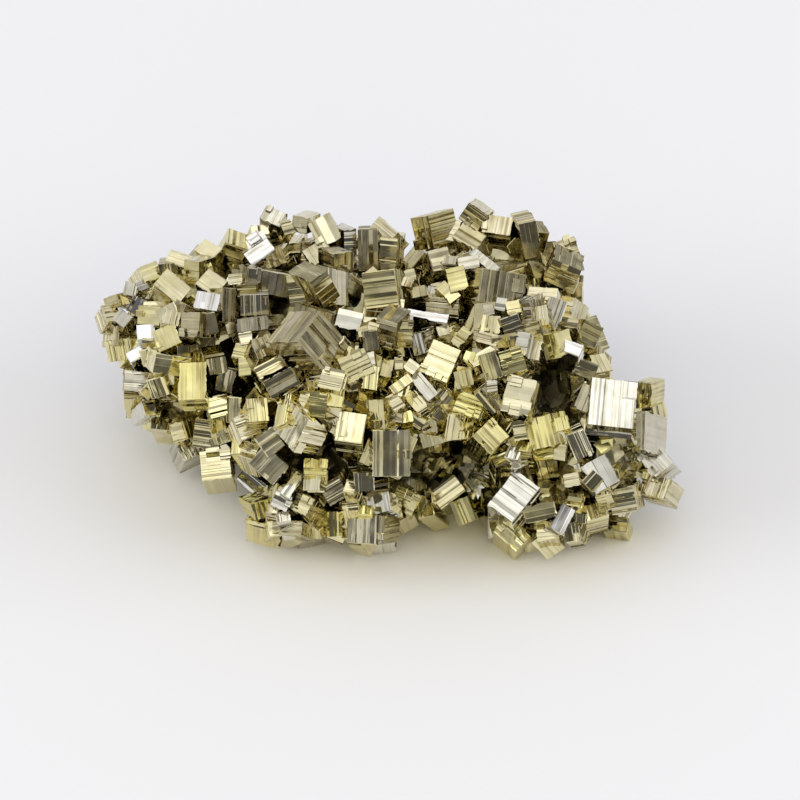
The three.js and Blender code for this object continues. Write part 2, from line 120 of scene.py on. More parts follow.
LEFT = [
    (-13.1, 13, 2.6, 2.3, 34, 0.1, -0.25, 2.6, "w", "white", 0.03),
    (-14.9, 13.9, 2.1, 1.4, -19, -0.25, -0.4, 2.4, "h", "gold"),
    (-18, 12.9, 1.9, 1.5, -28, 0.2, -0.4, 2.4, "w", "cream"),
    (-15.6, 11.1, 1.6, 1.3, 10, 0, 0.4, 1.4, "w", "dark"),
    (-17.4, 9.4, 2.2, 1.9, -34, 0.1, -0.3, 2.4, "w", "beige"),
    (-17.8, 7.5, 2.2, 1.6, -9, 0.2, -0.15, 2.6, "h", "white"),
    (-23.7, 6.1, 2.1, 1.8, -4, 0.25, 0, 2.8, "w", "gold"),
    (-23.9, 4.5, 1.7, 1.4, 3, 0, -0.2, 2.6, "h", "white"),
    (-25, 7, 1.7, 1.7, -29, 0.1, 0.1, 2.2, "h", "white"),
    (-27.6, 6.6, 1.3, 1.7, 8, -0.2, -0.3, 1.8, "w", "beige"),
    (-21.3, 5.9, 1.6, 1.3, -13, -0.1, -0.35, 2.6, "h", "beige"),
    (-19.4, 5.1, 1.8, 2.3, -3, 0.3, 0, 2.8, "w", "dark"),
    (-17.5, 5.2, 1.5, 2, 12, -0.1, 0.05, 2, "h", "dark"),
    (-20.9, 11.9, 2.2, 1.3, -18, 0.1, -0.3, 2.2, "w", "cream"),
    (-23.7, 10.6, 1.8, 1.6, 22, -0.2, -0.2, 2.2, "w", "cream"),
    (-22.1, 10.9, 1.6, 1, 5, 0, 0.1, 2.4, "h", "dark"),
    (-19.5, 10.4, 1.5, 2.2, -6, 0.25, 0.1, 2.4, "w", "olive"),
    (-27.8, 4.2, 1.6, 2, 4, 0.5, -0.1, 0.6, "h", "beige"),
    (-26.9, 2.7, 2.4, 2, 8, 0.4, 0.1, 1.2, "h", "gold"),
    (-25, 2.3, 1.7, 1.1, 30, 0.1, -0.2, 2.4, "w", "white"),
    (-23.5, 3.3, 1.8, 1.1, -5, 0, 0.1, 2, "w", "dark"),
    (-23.4, 2, 1.9, 1.5, 12, 0.2, 0.1, 2.2, "h", "olive"),
    (-21.8, 3.9, 2.2, 2, 24, 0.15, -0.15, 2.6, "h", "gold"),
    (-25, -0.4, 2.3, 1.9, -4, 0, -0.12, 2.6, "w", "slate"),
    (-25, -1.7, 2.4, 0.8, 2, 0, -0.35, 2.6, "w", "cream"),
    (-21.2, 1.1, 3.2, 1.8, -8, -0.2, 0.15, 2, "w", "cream"),
    (-22.7, -1.1, 1.8, 1.8, 16, 0.1, 0.2, 2.2, "h", "gold"),
    (-24.2, -3.3, 1.3, 2.1, -20, 0.2, 0.1, 2.4, "w", "dark"),
    (-23.6, -3.1, 1.2, 1.6, 8, -0.2, -0.15, 2.6, "w", "grey"),
    (-22.4, -4.7, 2.2, 1.2, -6, 0.1, -0.25, 2.2, "h", "beige"),
    (-20.9, -5.5, 1.3, 1.8, 14, 0.3, 0.1, 2.4, "w", "gold"),
    (-19.6, -6.8, 2.4, 2.2, 25, -0.1, -0.2, 2.2, "h", "grey"),
    (-18, -5.7, 2.2, 2.6, -8, 0.1, 0.1, 2, "w", "brown"),
    (-16.9, -5.6, 2.1, 2.2, 18, 0.25, 0.15, 2.2, "h", "olive"),
    (-16.7, 1.1, 1.8, 1.6, 10, -0.1, 0.2, 2),
    (-15.9, -0.4, 1.7, 2, -12, 0.1, 0.05, 1.8, "h", "dark"),
    (-16.6, -2.9, 2, 2, 14, 0, -0.25, 2.2, "w", "gold"),
    (-15.1, -3.3, 1.4, 2.3, -6, 0.2, 0.1, 2, "h", "olive"),
    (-13.7, -4.8, 2, 2.2, 20, -0.1, -0.15, 2.2),
    (-13.5, -7.2, 1.5, 1.6, -15, 0.1, -0.3, 2.6, "w", "cream"),
    (-14.7, -6.2, 1.1, 2.6, 6, 0.2, -0.3, 2.6, "h", "yellow"),
    (-15.6, 7.1, 1.3, 3, -3, -0.3, 0, 2.8, "h", "dark"),
    (-13.9, 8.6, 1.9, 1.1, 3, 0.1, 0.1, 2.6),
    (-13.3, 5.2, 2.9, 1.3, 6, 0.2, 0.02, 3, "h", "slate"),
    (-12, 2.9, 1.9, 2, 14, -0.15, -0.3, 3.2, "h", "dark"),
    (-14, 1.1, 1.2, 1.8, 8, 0.2, -0.2, 2.4, "w", "gold"),
    (-11.4, 1, 2.7, 1.2, 28, 0, -0.25, 3, "w", "olive"),
    (-10.3, -0.6, 2.8, 1.7, 29, 0, 0.05, 3.2, "w", "dark"),
]
CENTRE = [
    (-11.4, 16.2, 2.1, 1.4, -22, 0, -0.3, 2.4, "h", "grey"),
    (-8.8, 15.3, 1.5, 1.6, -8, 0.2, 0.1, 2.2, "w", "beige"),
    (-12.8, 14.9, 1.7, 1, 8, 0, -0.2, 2, "h", "beige"),
    (-7, 12.5, 1.8, 2.4, -60, 0.2, -0.3, 3, "w", "beige"),
    (-3.7, 13.4, 1.3, 2.6, 4, -0.2, 0.1, 2.6, "w", "grey"),
    (-0.5, 14.6, 2.4, 2, -40, 0.2, -0.2, 2, "w", "beige"),
    (-4.2, 11.3, 1.8, 1.9, 3, -0.25, 0.1, 2.8, "h", "brown"),
    (-9.8, 13, 2, 1, 4, 0.1, 0.15, 2.2, "w", "olive"),
    (-8.2, 12.5, 1, 2, -8, 0.2, 0.1, 2.4, "w", "brown"),
    (-9, 8.5, 1.5, 2.8, 6, 0.15, 0.1, 2, "w", "olive"),
    (-5.4, -0.2, 2.1, 1.9, -12, 0.1, -0.25, 4, "w", "cream"),
    (-3, 1.1, 2.6, 2.4, 25, 0.1, -0.12, 3, "w", "olive"),
    (-1.5, -0.1, 1.5, 2.2, -10, -0.2, -0.15, 2.8, "h", "gold"),
    (-5.6, -1.9, 2.6, 1.7, -7, 0.1, -0.2, 3.2, "h", "yellow"),
    (-10.2, -3.2, 1.2, 2.7, 18, 0.4, -0.3, 3.2, "h", "gold"),
    (-12.6, -3.2, 1.9, 2.1, 3, -0.1, -0.2, 2.6, "h", "gold"),
    (-1.1, -3.7, 1.8, 2.6, 0, 0.35, 0.1, 2.8, "h", "olive"),
    (-3.7, 5.6, 2.3, 1.7, -12, 0, -0.25, 3, "w", "grey"),
    (-1.6, 3.5, 1.4, 1.8, 8, -0.1, 0.05, 2.8, "h", "dark"),
    (-0.2, 4.2, 2, 2.6, -16, 0.2, 0.2, 2.8, "w", "dark"),
    (1.7, 4.1, 1.6, 2.6, 0, 0, 0.1, 2.8, "w", "olive"),
    (3, 3.2, 1.2, 1.9, 12, 0.2, 0.1, 2.8, "h", "grey"),
    (0.1, 12.3, 1.7, 3, -6, 0.1, 0.1, 2.4, "w", "olive"),
    (-11.6, 11.9, 2.4, 1.6, 18, 0.1, 0.2, 1.6),
    (-9.2, -10.6, 2.4, 1.1, 55, -0.1, -0.2, 3.2, "w", "grey"),
    (-7.3, -10.2, 1.6, 1.7, 0, 0.25, -0.1, 3, "h", "beige"),
    (-6.9, -8.4, 2.1, 0.9, -3, 0, -0.35, 3, "h", "yellow"),
    (-5.1, -11.3, 2.1, 2.1, 30, 0.1, 0.15, 2.6, "w", "brown"),
    (-13.2, -10.7, 3.1, 1.4, -40, 0.1, 0.1, 2.8, "w", "grey"),
    (-10.3, -12.2, 1.7, 1.5, -24, 0, -0.1, 2.8, "w", "grey"),
    (-8.3, -12.5, 1.6, 1.9, -24, 0.2, -0.25, 3, "w", "cream"),
    (-9.4, -14.8, 2, 1.3, -5, 0.2, -0.1, 2.6),
    (-12.2, -13.1, 1.8, 1.6, 16, -0.2, 0.1, 2.4),
    (-5.1, -14.5, 1.5, 2.2, 4, -0.2, 0.1, 2.6, "h", "gold"),
    (-0.8, -12.4, 2.2, 1.9, 14, 0.15, -0.1, 2.8, "h", "grey"),
    (-2.2, -10.3, 1.8, 1.8, 5, -0.1, 0.1, 2.8, "h", "dark"),
    (3.7, -12.5, 1.5, 2.6, 16, 0.25, -0.2, 2.8, "h", "cream"),
    (8.6, -10.9, 2, 2.4, -27, 0.1, -0.2, 2.6, "w", "grey"),
    (7.6, -13.3, 1.9, 2.4, 21, 0.15, 0.1, 2.6, "h", "yellow"),
    (8, -2.7, 2.5, 2, -20, 0.1, -0.15, 3.2, "w", "yellow"),
    (5.4, -3, 2.5, 2.4, -40, -0.1, 0.08, 2.6, "h", "dark"),
    (7.5, -0.2, 1.7, 1.5, 13, 0.1, -0.1, 3.2, "h", "olive"),
    (10.1, 1, 1.7, 2.4, 18, 0.2, 0.05, 3.4, "h", "olive"),
    (12.3, 1.5, 2.2, 2.2, 16, 0, 0.05, 3.4, "w", "yellow"),
    (10.1, -2.3, 2.4, 1.6, -50, -0.1, 0.2, 3, "w", "brown"),
    (3.6, -0.9, 2.6, 1.2, -50, 0.1, -0.2, 3.2, "w", "grey"),
    (2.8, -2.3, 1.7, 1.2, -49, 0.1, -0.35, 3.2, "w", "cream"),
    (0.8, -2.4, 1.6, 1.2, -50, -0.1, -0.35, 3.2, "h", "cream"),
    (1.4, -0.7, 2.2, 0.9, 35, 0, -0.2, 3.2),
    (9.5, 2.1, 2.8, 1, 30, 0.1, -0.3, 2.8, "w", "cream"),
    (11.6, 3.4, 2.4, 1.1, 6, -0.1, 0.15, 2.6, "h", "dark"),
    (4, 6.1, 3.8, 0.9, -9, 0, -0.35, 2.6, "w", "white"),
    (5.5, 6.9, 3, 1.7, -6, 0.1, 0.2, 1.6, "w", "dark"),
    (7.3, 4, 2, 1, 50, 0.1, -0.3, 2.6),
]
RIGHT_SIDE = [
    (7, 9.8, 1.8, 2.2, 14, 0.1, -0.3, 3, "w", "yellow"),
    (6, 8.5, 1.2, 2, 38, 0.1, -0.35, 3.2, "w", "gold"),
    (5.4, 11.8, 1.9, 2, 13, -0.1, -0.2, 2.6, "w", "beige"),
    (8.1, 11.4, 2, 1.2, 10, 0.1, -0.25, 2.8, "w", "grey"),
    (8.2, 14.1, 2.5, 1.8, -32, 0.1, -0.25, 2.6, "w", "dark"),
    (6, 15, 2.4, 2.2, -12, -0.1, -0.2, 2.2, "w", "beige"),
    (3.5, 14.5, 1.6, 3, 6, 0.5, 0.15, 0.6, "h", "olive"),
    (8.7, 16.1, 2.2, 1.8, -35, 0.1, 0.1, 2, "w", "olive"),
    (11.1, 15.4, 2.6, 1.7, -7, 0.1, -0.25, 2.2, "h", "beige"),
    (9.7, 11.6, 3, 1, -40, 0.2, -0.3, 2.6, "h", "grey"),
    (18, 12.9, 2.2, 2, 18, 0.1, -0.3, 2),
    (15.3, 8, 2.7, 1.7, -4, 0.1, -0.25, 2.6, "w", "beige"),
    (15, 6, 1.5, 1.8, 12, 0.2, -0.2, 2.6, "h", "beige"),
    (16.4, 6, 3.2, 1.7, 70, -0.1, -0.1, 2.4, "w", "grey"),
    (17.8, 7, 1.3, 2.2, -8, 0.3, -0.2, 2.2, "w", "beige"),
    (16.1, 2.9, 1.4, 2.2, 10, 0.25, 0.1, 2.2, "h", "yellow"),
    (10.2, 5.2, 1.7, 1.6, -5, 0.1, -0.2, 3),
    (9.9, 3.7, 2, 1.2, -15, 0.1, -0.25, 2.8),
    (12.2, 5, 1.8, 1.7, 20, -0.1, 0.1, 3),
    (13.2, 3.2, 1.2, 2.2, -6, 0.2, -0.2, 2.8),
    (13.6, 6.4, 1.1, 2.2, 6, 0.2, 0.1, 2.6),
    (14.3, 4.1, 1.6, 2.2, 14, 0.2, 0.1, 2.4, "w", "olive"),
    (14.6, 2.6, 1.1, 1.8, -12, 0.1, -0.15, 2.4, "h", "beige"),
    (18.1, 2.9, 2, 1.2, -20, 0, -0.3, 2.8, "w", "white"),
    (19.6, 0.7, 2, 1.6, -20, -0.2, 0.1, 2.8, "w", "brown"),
    (21.3, 1.4, 1.6, 1.8, 10, -0.2, -0.35, 1.2, "h", "cream"),
    (25.5, -2, 1.4, 2.6, -8, 0.3, 0.1, 2, "h", "olive"),
    (25, -5.4, 0.9, 3.6, 5, 0.35, -0.1, 2.4, "h", "slate"),
    (15.4, -7.7, 2.1, 1, 6, 0.1, -0.3, 2.8, "w", "cream"),
    (17, -6.8, 1.2, 2.6, -10, 0.25, 0.1, 2.4, "w", "olive"),
    (22.6, -14.5, 2.2, 1.4, -6, 0.1, -0.2, 2.2, "w", "gold"),
    (26.5, -10.8, 2.6, 2, -14, 0.25, -0.2, 2, "h", "beige"),
    (20.5, -13.2, 2.2, 1.4, 14, 0, -0.25, 2.6, "h", "cream"),
    (15.7, -15.1, 2, 1.8, 6, 0.1, -0.2, 2.2, "w", "cream"),
    (18.2, -15.3, 1.4, 1.8, 10, 0.1, -0.1, 2, "h", "beige"),
    (13, -5.3, 1.2, 1.8, 8, 0.1, 0.1, 2.6),
    (15, -13.3, 2.8, 1.6, 12, 0.1, 0.1, 2.4, "w", "olive"),
]
# Crystals with edges under about 1.5 mm
SMALL = [
    (-26.6, 5.9, 1.5, 1.4, -37, 0.2, -0.2, 2.2, "h", "grey"),
    (-25.7, 8.9, 1.2, 1.2, -12, -0.1, -0.3, 2, "h", "grey"),
    (-24.6, 9.2, 1.1, 1.1, 20, 0.2, 0.1, 2, "w", "grey"),
    (-26.3, 7.9, 1.4, 1.2, 15, -0.3, -0.1, 1.8),
    (-18.2, 11.4, 1, 1.2, 28, 0.1, -0.35, 2.6, "w", "gold"),
    (-15.1, 9.8, 1.5, 1, 6, 0.1, -0.3, 2.6, "w", "beige"),
    (-13.9, 3.8, 1.2, 1.2, 10, 0, -0.2, 2.8),
    (-14.5, 2.6, 1.2, 1.4, -10, 0.1, -0.3, 2.6, "w", "gold"),
    (-10, 15.2, 1.1, 1.5, 14, -0.2, -0.3, 2.4, "w", "cream"),
    (-2.4, 4.4, 1, 1.1, 10, 0.1, -0.35, 3.2),
    (-1.4, 4.9, 1.1, 0.9, -14, 0.1, -0.35, 3.2),
    (-10.2, -13.7, 1.3, 1, 12, 0.1, -0.3, 2.8),
    (-11.2, -12.9, 1.1, 0.9, -10, 0, -0.3, 2.8),
    (-11, -14.9, 1.2, 1.5, 8, -0.1, -0.1, 2.6),
    (-3.6, -12.6, 1.5, 1.1, 6, 0.1, -0.35, 3.2, "w", "cream"),
    (-2.1, -13, 1.4, 0.9, -4, 0, -0.3, 3.2, "h", "yellow"),
    (-3.6, -10.7, 1.1, 1.3, -12, 0.1, -0.3, 3),
    (10.3, -0.8, 1.1, 1.1, 8, 0.1, -0.35, 3.4),
    (1.6, -1.3, 1.1, 1.1, -12, 0.1, -0.3, 3.2, "h", "cream"),
    (2.9, -4.4, 1.5, 1.3, -35, 0.1, 0.15, 2.8, "w", "brown"),
    (1.9, -3.9, 1.2, 1, 10, 0, -0.3, 3),
    (0.9, -4, 1.2, 1, -8, 0.2, 0.1, 3),
    (1.2, 1.3, 0.9, 1.2, 4, 0.1, -0.2, 3),
    (2.4, 1.1, 1.3, 1.1, -35, -0.1, -0.3, 3.2),
    (8.1, 2.1, 1, 0.9, -10, 0.2, -0.3, 3.2, "h", "yellow"),
    (5.6, 4.6, 1.2, 1, 12, 0, -0.35, 2.8),
    (6.3, 11.7, 1.4, 0.9, -6, 0.1, -0.3, 2.8),
    (18, 5.4, 1.5, 0.9, -8, 0.1, -0.2, 2.4),
    (3.1, 8.4, 1.5, 1.1, 12, 0.1, -0.1, 2),
    (4.6, 8.4, 1.2, 1.3, -14, -0.1, -0.1, 2.2),
    (2.3, 10.2, 1.1, 1.1, 14, 0.1, -0.3, 2.4),
    (2, 9.4, 1, 1, -10, 0.2, -0.3, 2.6),
    (10, 6.7, 1, 1.1, 12, 0.1, -0.3, 3),
    (11.2, 7.2, 1, 1.2, -8, 0.1, -0.3, 3.4),
    (12.4, 6.9, 1.4, 1.4, 10, 0, -0.25, 3.2),
    (25.8, -3.8, 1, 1.4, 10, 0.3, 0.1, 2, "w", "olive"),
    (20.2, -10.2, 1.5, 1.5, -43, -0.1, 0.02, 3.6, "h", "dark"),
    (18.1, -10.1, 1.5, 1.2, 10, 0.1, -0.1, 2.8),
    (18.5, -12, 1.4, 1.2, -8, 0.1, -0.3, 2.8),
    (21.1, -11, 1.5, 1.2, 12, 0.1, -0.2, 3),
    (19, -13.9, 1.1, 1, -6, 0.1, 0.1, 2.4, "h", "brown"),
    (9.5, -11.8, 1, 1.1, 14, -0.1, -0.2, 2.8),
    (13, -8.2, 1.5, 1.3, 12, 0.1, -0.3, 3.2),
    (12.4, -7.4, 1.3, 1.2, -14, 0.1, -0.3, 3.2),
    (11.1, -8, 1.5, 1.3, 20, 0, -0.3, 3),
    (13.7, -6.8, 1.2, 0.9, -10, 0.1, -0.35, 3.2),
]
# How many filling crystals each lobe is offered, and the range of their edges
FILL = [
    (26, 3, 4.6),
    (52, 3, 5),
    (28, 3, 4.6),
    (22, 2.8, 4.2),
    (34, 3, 4.8),
    (18, 2.6, 4),
    (6, 2, 3),
    (6, 2, 3),
    (8, 2, 3),
]

# Deep clefts: across, up, half width, half height
PITS = [
    (-15.5, -0.1, 2.1, 4.2),
    (-13.7, -1.2, 1.4, 1.7),
    (-4.9, -8.5, 1.7, 2.5),
    (7.5, -8.0, 2.8, 1.8),
    (16.5, -1.1, 2.5, 2.7),
    (5.5, 6.5, 3.2, 1.4),
    (-9.7, 11.0, 1.6, 0.9),
    (-3.6, 8.5, 1.2, 1.8),
    (3.6, 10.2, 2.2, 1.3),
    (16.1, -8.5, 1.0, 1.0),
    (3.9, -8.1, 1.6, 1.1),
    (-11.6, -4.6, 0.9, 1.0),
    (19.6, -6.6, 1.8, 0.9),
    (-21.6, 3.4, 0.9, 0.7),
]

# Each look: how pale, how golden and how grey the crystal is, from 0 to 1
LOOKS = {
    "white": (1.0, 0.0, 0.6),
    "cream": (0.85, 0.35, 0.0),
    "beige": (0.65, 0.1, 0.1),
    "grey": (0.6, 0.0, 0.8),
    "gold": (0.75, 0.65, 0.0),
    "yellow": (0.75, 1.0, 0.0),
    "olive": (0.38, 0.5, 0.0),
    "brown": (0.2, 0.2, 0.0),
    "slate": (0.12, 0.0, 0.7),
    "dark": (0.1, 0.15, 0.15),
}
# The looks that other crystals get by chance; layers with painted shade leave out the last, paler
# ones
COMMON = ["dark", "brown", "olive", "slate", "olive", "beige", "brown", "gold",
          "olive", "beige", "grey", "yellow", "cream"]

TRACED = [*LARGE, *LEFT, *CENTRE, *RIGHT_SIDE]
GROW = 1.13  # how much larger the crystals after the first table are than they look
MORE_LEAN = 1.6  # and how much more they lean
PAINTED_LIGHT_AND_SHADE_BY_HEIGHT = 0.35  # painted shade: how much darker the crystals at the back are; painted light: how much paler those low in front
GOLDEN = math.pi * (3 - math.sqrt(5))
WORD = 0xFFFFFFFF

# Layers: how much painted shade dims their crystals' looks below chance, the width of a strip and the
# steep share
BEHIND = 0.45, 0.6, 0.15
BETWEEN = 0.35, 0.45, 0.2
BENEATH = 0.45, 0.75, 0.1
IN_CLEFTS = 0.3, 0.5, 0.1

# How far a lobe's surface faces the viewer, from 1 to -1, where the front begins and the back does
FRONT = 0.3
PIT_FRONT = 0.2
BACK = -0.2
FAR_BACK = -0.35
LARGEST_IN_FRONT = 3  # the filling crystals' edges before the far back
OVERHANG = 0.55  # the share of a crystal's reach that may not stand over a deep cleft
LAP = 0.3  # how far a crystal may lap over a measured one


def unit(p):
    return p / math.sqrt(float(p @ p))


# Uses: 1 to 3 turn, 4 and 5 edges, 6 and 9 depth, 7 and 8 shift, 21 and 22 look,
# 31 to 36 striations, 41 and 50 up outgrowths
def chance(number, use):
    """A repeatable number from 0 to 1 for a crystal's number and for one use of it."""
    h = ((number + 1) * 374761393 + (use + 1) * 668265263) & WORD
    h = ((h ^ (h >> 13)) * 1274126177) & WORD
    h ^= h >> 16
    return h / (WORD + 1)


def spot(across, up, near=0.0):
    """The point that lies so far across, up and toward the viewer from the middle."""
    return MIDDLE + across * RIGHT + up * UP + near * NEAR


def in_picture(p):
    """How far a point lies across, up and toward the viewer from the middle."""
    return [float((p - MIDDLE) @ d) for d in VIEW]


def reach_of(axes, edges):
    """How far a crystal reaches from its centre across, up and toward the viewer."""
    return [float(np.abs(axes @ d) @ edges) / 2 for d in VIEW]


def on_sight(across, up):
    """The three numbers of each lobe's quadratic along a line of sight, its discriminant first."""
    found = []
    for at, r in LOBES:
        d, o = NEAR / r, (spot(across, up) - at) / r
        a, b = d @ d, d @ o
        found.append((b * b - a * (o @ o - 1), a, b))
    return found


def core_depth(across, up):
    """Where a line of sight first meets the core, or else passes nearest to it."""
    found = on_sight(across, up)
    hits = [(math.sqrt(disc) - b) / a for disc, a, b in found if disc >= 0]
    if hits:
        return max(hits)
    disc, a, b = max(found)
    return -b / a


def over_core(across, up):
    """Whether a line of sight meets the core."""
    return any(disc > 0 for disc, a, b in on_sight(across, up))


def over_pit(across, up, reach=(0, 0)):
    """Whether something with that reach stands over a deep cleft."""
    x, y = OVERHANG * reach[0], OVERHANG * reach[1]
    return any(
        ((across - a) / (w + x)) ** 2 + ((up - u) / (h + y)) ** 2 < 1 for a, u, w, h in PITS
    )


def any_look(number, painted_shade=0.0):
    """Which way a crystal's striations run and how it looks, by chance; painted shade keeps it to the
    first, dim looks of the list.
    """
    pick = int(len(COMMON) * chance(number, 22) * (1 - painted_shade))
    return "w" if chance(number, 21) < 0.5 else "h", COMMON[pick]


def crystal(centre, axes, edges, look, strip, steep):
    """A crystal, with the width of its strips and the share of them that is steep."""
    return {"centre": centre, "axes": axes, "edges": edges, "stripe": look[0], "look": look[1],
            "strip": strip, "steep": steep}


def traced(row, number):
    """A crystal from its measured row."""
    across, up, width, height, turn, lean_r, lean_u, rise = row[:8]
    if number >= len(LARGE):
        width, height = width * GROW, height * GROW
        lean_r, lean_u = lean_r * MORE_LEAN, lean_u * MORE_LEAN
    nz = math.sqrt(1 - lean_r**2 - lean_u**2)
    co, si = math.cos(math.radians(turn)), math.sin(math.radians(turn))
    n = nz * NEAR - lean_r * RIGHT - lean_u * UP
    q = (lean_r * co + lean_u * si) / nz
    e1 = unit(q * NEAR + co * RIGHT + si * UP)
    e2 = np.cross(n, e1)
    w = width / math.sqrt(1 - (e1 @ NEAR) ** 2)
    h = height / math.sqrt(1 - (e2 @ NEAR) ** 2)
    d = max(w, h, rise + 1 + 1.6 * max(0, (nz - 0.85) / 0.15))
    front = spot(across, up, core_depth(across, up) + rise)
    look = row[8:10] or any_look(number)
    steep = 0.1 + 0.3 * chance(number, 36)
    if look[1] in ("white", "cream"):
        steep *= 0.4
    elif look[1] in ("dark", "brown", "slate"):
        steep += 0.12
    if len(row) > 10:
        steep = row[10]
    strip = STRIP * (0.8 + 1.7 * chance(number, 33) ** 2)
    return crystal(front - n * d / 2, np.array([e1, e2, n]), (w, h, d), look, strip, steep)


def layer_crystal(centre, axes, edges, number, layer, in_front=True):
    """A crystal that wasn't measured; in front its layer's painted shade dims it, at the back it
    looks as bright as chance makes it.
    """
    painted_shade, strip, steep = layer
    return crystal(centre, axes, edges, any_look(number, painted_shade * in_front), strip, steep)


def outgrowths(parent, number):
    """Smaller crystals grown parallel on a crystal's front face, near its edges."""
    w, h, d = parent["edges"]
    if min(w, h) < 1.5:
        return []
    most = 3.6 if min(w, h) > 2.3 else 1.9
    found = []
    for i in range(int(most * chance(number, 41))):
        use = 50 + 8 * i
        size = min(w, h) * (0.2 + 0.3 * chance(number, use))
        side = [2 * chance(number, use + 1) - 1, 2 * chance(number, use + 2) - 1]
        far = 0 if chance(number, use + 3) < 0.5 else 1
        side[far] = math.copysign(1.0, side[far])
        out = 0.1 + 0.25 * chance(number, use + 4)
        at = np.array([side[0] * (w / 2 - 0.42 * size), side[1] * (h / 2 - 0.42 * size),
                       d / 2 - size / 2 + out])
        edges = (size, size * (0.7 + 0.6 * chance(number, use + 5)), size)
        centre = parent["centre"] + at @ parent["axes"]
        found.append({**parent, "centre": centre, "edges": edges, "strip": 0.3})
    return found


def turned(number):
    """Three edge directions of a crystal turned at random, but repeatably."""
    u = chance(number, 1)
    a, b = 2 * math.pi * chance(number, 2), 2 * math.pi * chance(number, 3)
    x, y = math.sqrt(1 - u) * math.sin(a), math.sqrt(1 - u) * math.cos(a)
    z, w = math.sqrt(u) * math.sin(b), math.sqrt(u) * math.cos(b)
    return np.array([
        [1 - 2 * (y * y + z * z), 2 * (x * y + z * w), 2 * (x * z - y * w)],
        [2 * (x * y - z * w), 1 - 2 * (x * x + z * z), 2 * (y * z + x * w)],
        [2 * (x * z + y * w), 2 * (y * z - x * w), 1 - 2 * (x * x + y * y)],
    ])


def covered(p):
    """Whether a point of the core lies behind one of the main crystals."""
    across, up = in_picture(p)[:2]
    return any(
        math.hypot(row[0] - across, row[1] - up) < 0.5 * max(row[2], row[3]) + 0.4
        for row in TRACED
    )


def in_the_way(candidate, seen):
    """Whether a crystal would stand before a measured crystal or over a deep cleft."""
    reach = reach_of(candidate["axes"], candidate["edges"])
    across, up, near = in_picture(candidate["centre"])
    return over_pit(across, up, reach) or any(
        near + reach[2] - LAP > front
        and abs(across - a) < reach[0] + size
        and abs(up - u) < reach[1] + size
        for a, u, size, front in seen
    )


def in_pit(p, out):
    """Whether a point of the core lies in one of the deep clefts."""
    across, up = in_picture(p)[:2]
    return out @ NEAR >= PIT_FRONT and over_pit(across, up)


def on_lobe(lobe, i, count, start=0.0):
    """One of a lobe's evenly spread points, and the way out of the lobe there."""
    at, r = LOBES[lobe]
    z = 1 - (2 * i + 1) / count
    ring = math.sqrt(1 - z * z)
    turn = i * GOLDEN + start
    s = np.array([ring * math.cos(turn), ring * math.sin(turn), z])
    return at + s * r, unit(s / r)


def in_other(p, lobe, limit):
    """Whether a lobe's point lies inside another lobe."""
    return any(
        k != lobe and (((p - at) / r) ** 2).sum() < limit for k, (at, r) in enumerate(LOBES)
    )


def backing(seen):
    """Larger crystals just behind the measured ones, which close the gaps between them."""
    found = []
    for number, row in enumerate(TRACED, 9000):
        size = min(4.4, (1.2 + 0.6 * chance(number, 4)) * max(row[2], row[3]))
        across = row[0] + size * 0.7 * (chance(number, 7) - 0.5)
        up = row[1] + size * 0.7 * (chance(number, 8) - 0.5)
        axes, edges = turned(number), np.array([1, 0.8 + 0.4 * chance(number, 5), 1]) * size
        reach = reach_of(axes, edges)
        rim = ((-1, 0), (1, 0), (0, -1), (0, 1))
        if over_pit(across, up, reach) or not all(
                over_core(across + i * reach[0], up + j * reach[1]) for i, j in rim):
            continue
        near = min(
            front for a, u, room, front in seen
            if abs(across - a) < 0.8 * reach[0] + room and abs(up - u) < 0.8 * reach[1] + room
        ) - LAP - reach[2]
        if near >= core_depth(across, up) - 0.9 * size:
            found.append(layer_crystal(
                spot(across, up, near), axes, tuple(edges), number, BEHIND))
    return found


def filling(seen):
    """Crystals spread evenly over the lobes where none was measured."""
    found, number = [], 0
    for lobe, (count, small, large) in enumerate(FILL):
        for i in range(count):
            number += 1
            p, out = on_lobe(lobe, i, count)
            facing = out @ NEAR
            if p[2] < -0.5 or in_other(p, lobe, 0.92):
                continue
            if facing > FRONT and (covered(p) or in_pit(p, out)):
                continue
            size = small + (large - small) * chance(number, 4) ** 1.4
            rise = 0.62 * size
            if facing > FAR_BACK:
                size = min(size, LARGEST_IN_FRONT)
                rise = size * 0.35
            edges = (size, size, size * (0.85 + 0.4 * chance(number, 5)))
            new = layer_crystal(p + out * (rise - 0.5 * size), turned(number), edges,
                                number, BETWEEN, facing > BACK)
            if facing < BACK or not in_the_way(new, seen):
                found.append(new)
    return found


def deep_layer(seen):
    """Lower crystals that close the gaps between the others."""
    found = []
    for lobe, (at, r) in enumerate(LOBES):
        count = int(3.3 * (r[0] * r[1] + r[1] * r[2] + r[0] * r[2]) / 8)
        for i in range(count):
            number = 5000 + 500 * lobe + i
            p, out = on_lobe(lobe, i, count, 1.1)
            facing = out @ NEAR
            if p[2] < 0.3 or in_other(p, lobe, 0.8) or in_pit(p, out):
                continue
            size = 2.0 + 2.2 * chance(number, 4) ** 1.5
            rise = 0.3 + 1.4 * chance(number, 6)
            edges = (size, size, size * (0.9 + 0.5 * chance(number, 5)))
            new = layer_crystal(p + out * (rise - 0.5 * size), turned(number), edges,
                                number, BENEATH, facing > BACK)
            if facing < BACK or not in_the_way(new, seen):
                found.append(new)
    return found


def in_clefts():
    """Crystals at the bottom of the deep clefts."""
    found = []
    for k, (across, up, width, height) in enumerate(PITS):
        for number in range(9500 + 10 * k, 9507 + 10 * k):
            size = 1.4 + 1.5 * chance(number, 4)
            near = core_depth(across, up) - 3.4 - 1.6 * chance(number, 9) - size / 2
            place = spot(across + width * 1.7 * (chance(number, 7) - 0.5),
                         up + height * 1.7 * (chance(number, 8) - 0.5), near)
            edges = (size, size, size * (0.9 + 0.5 * chance(number, 5)))
            found.append(layer_crystal(place, turned(number), edges, number, IN_CLEFTS))
    return found


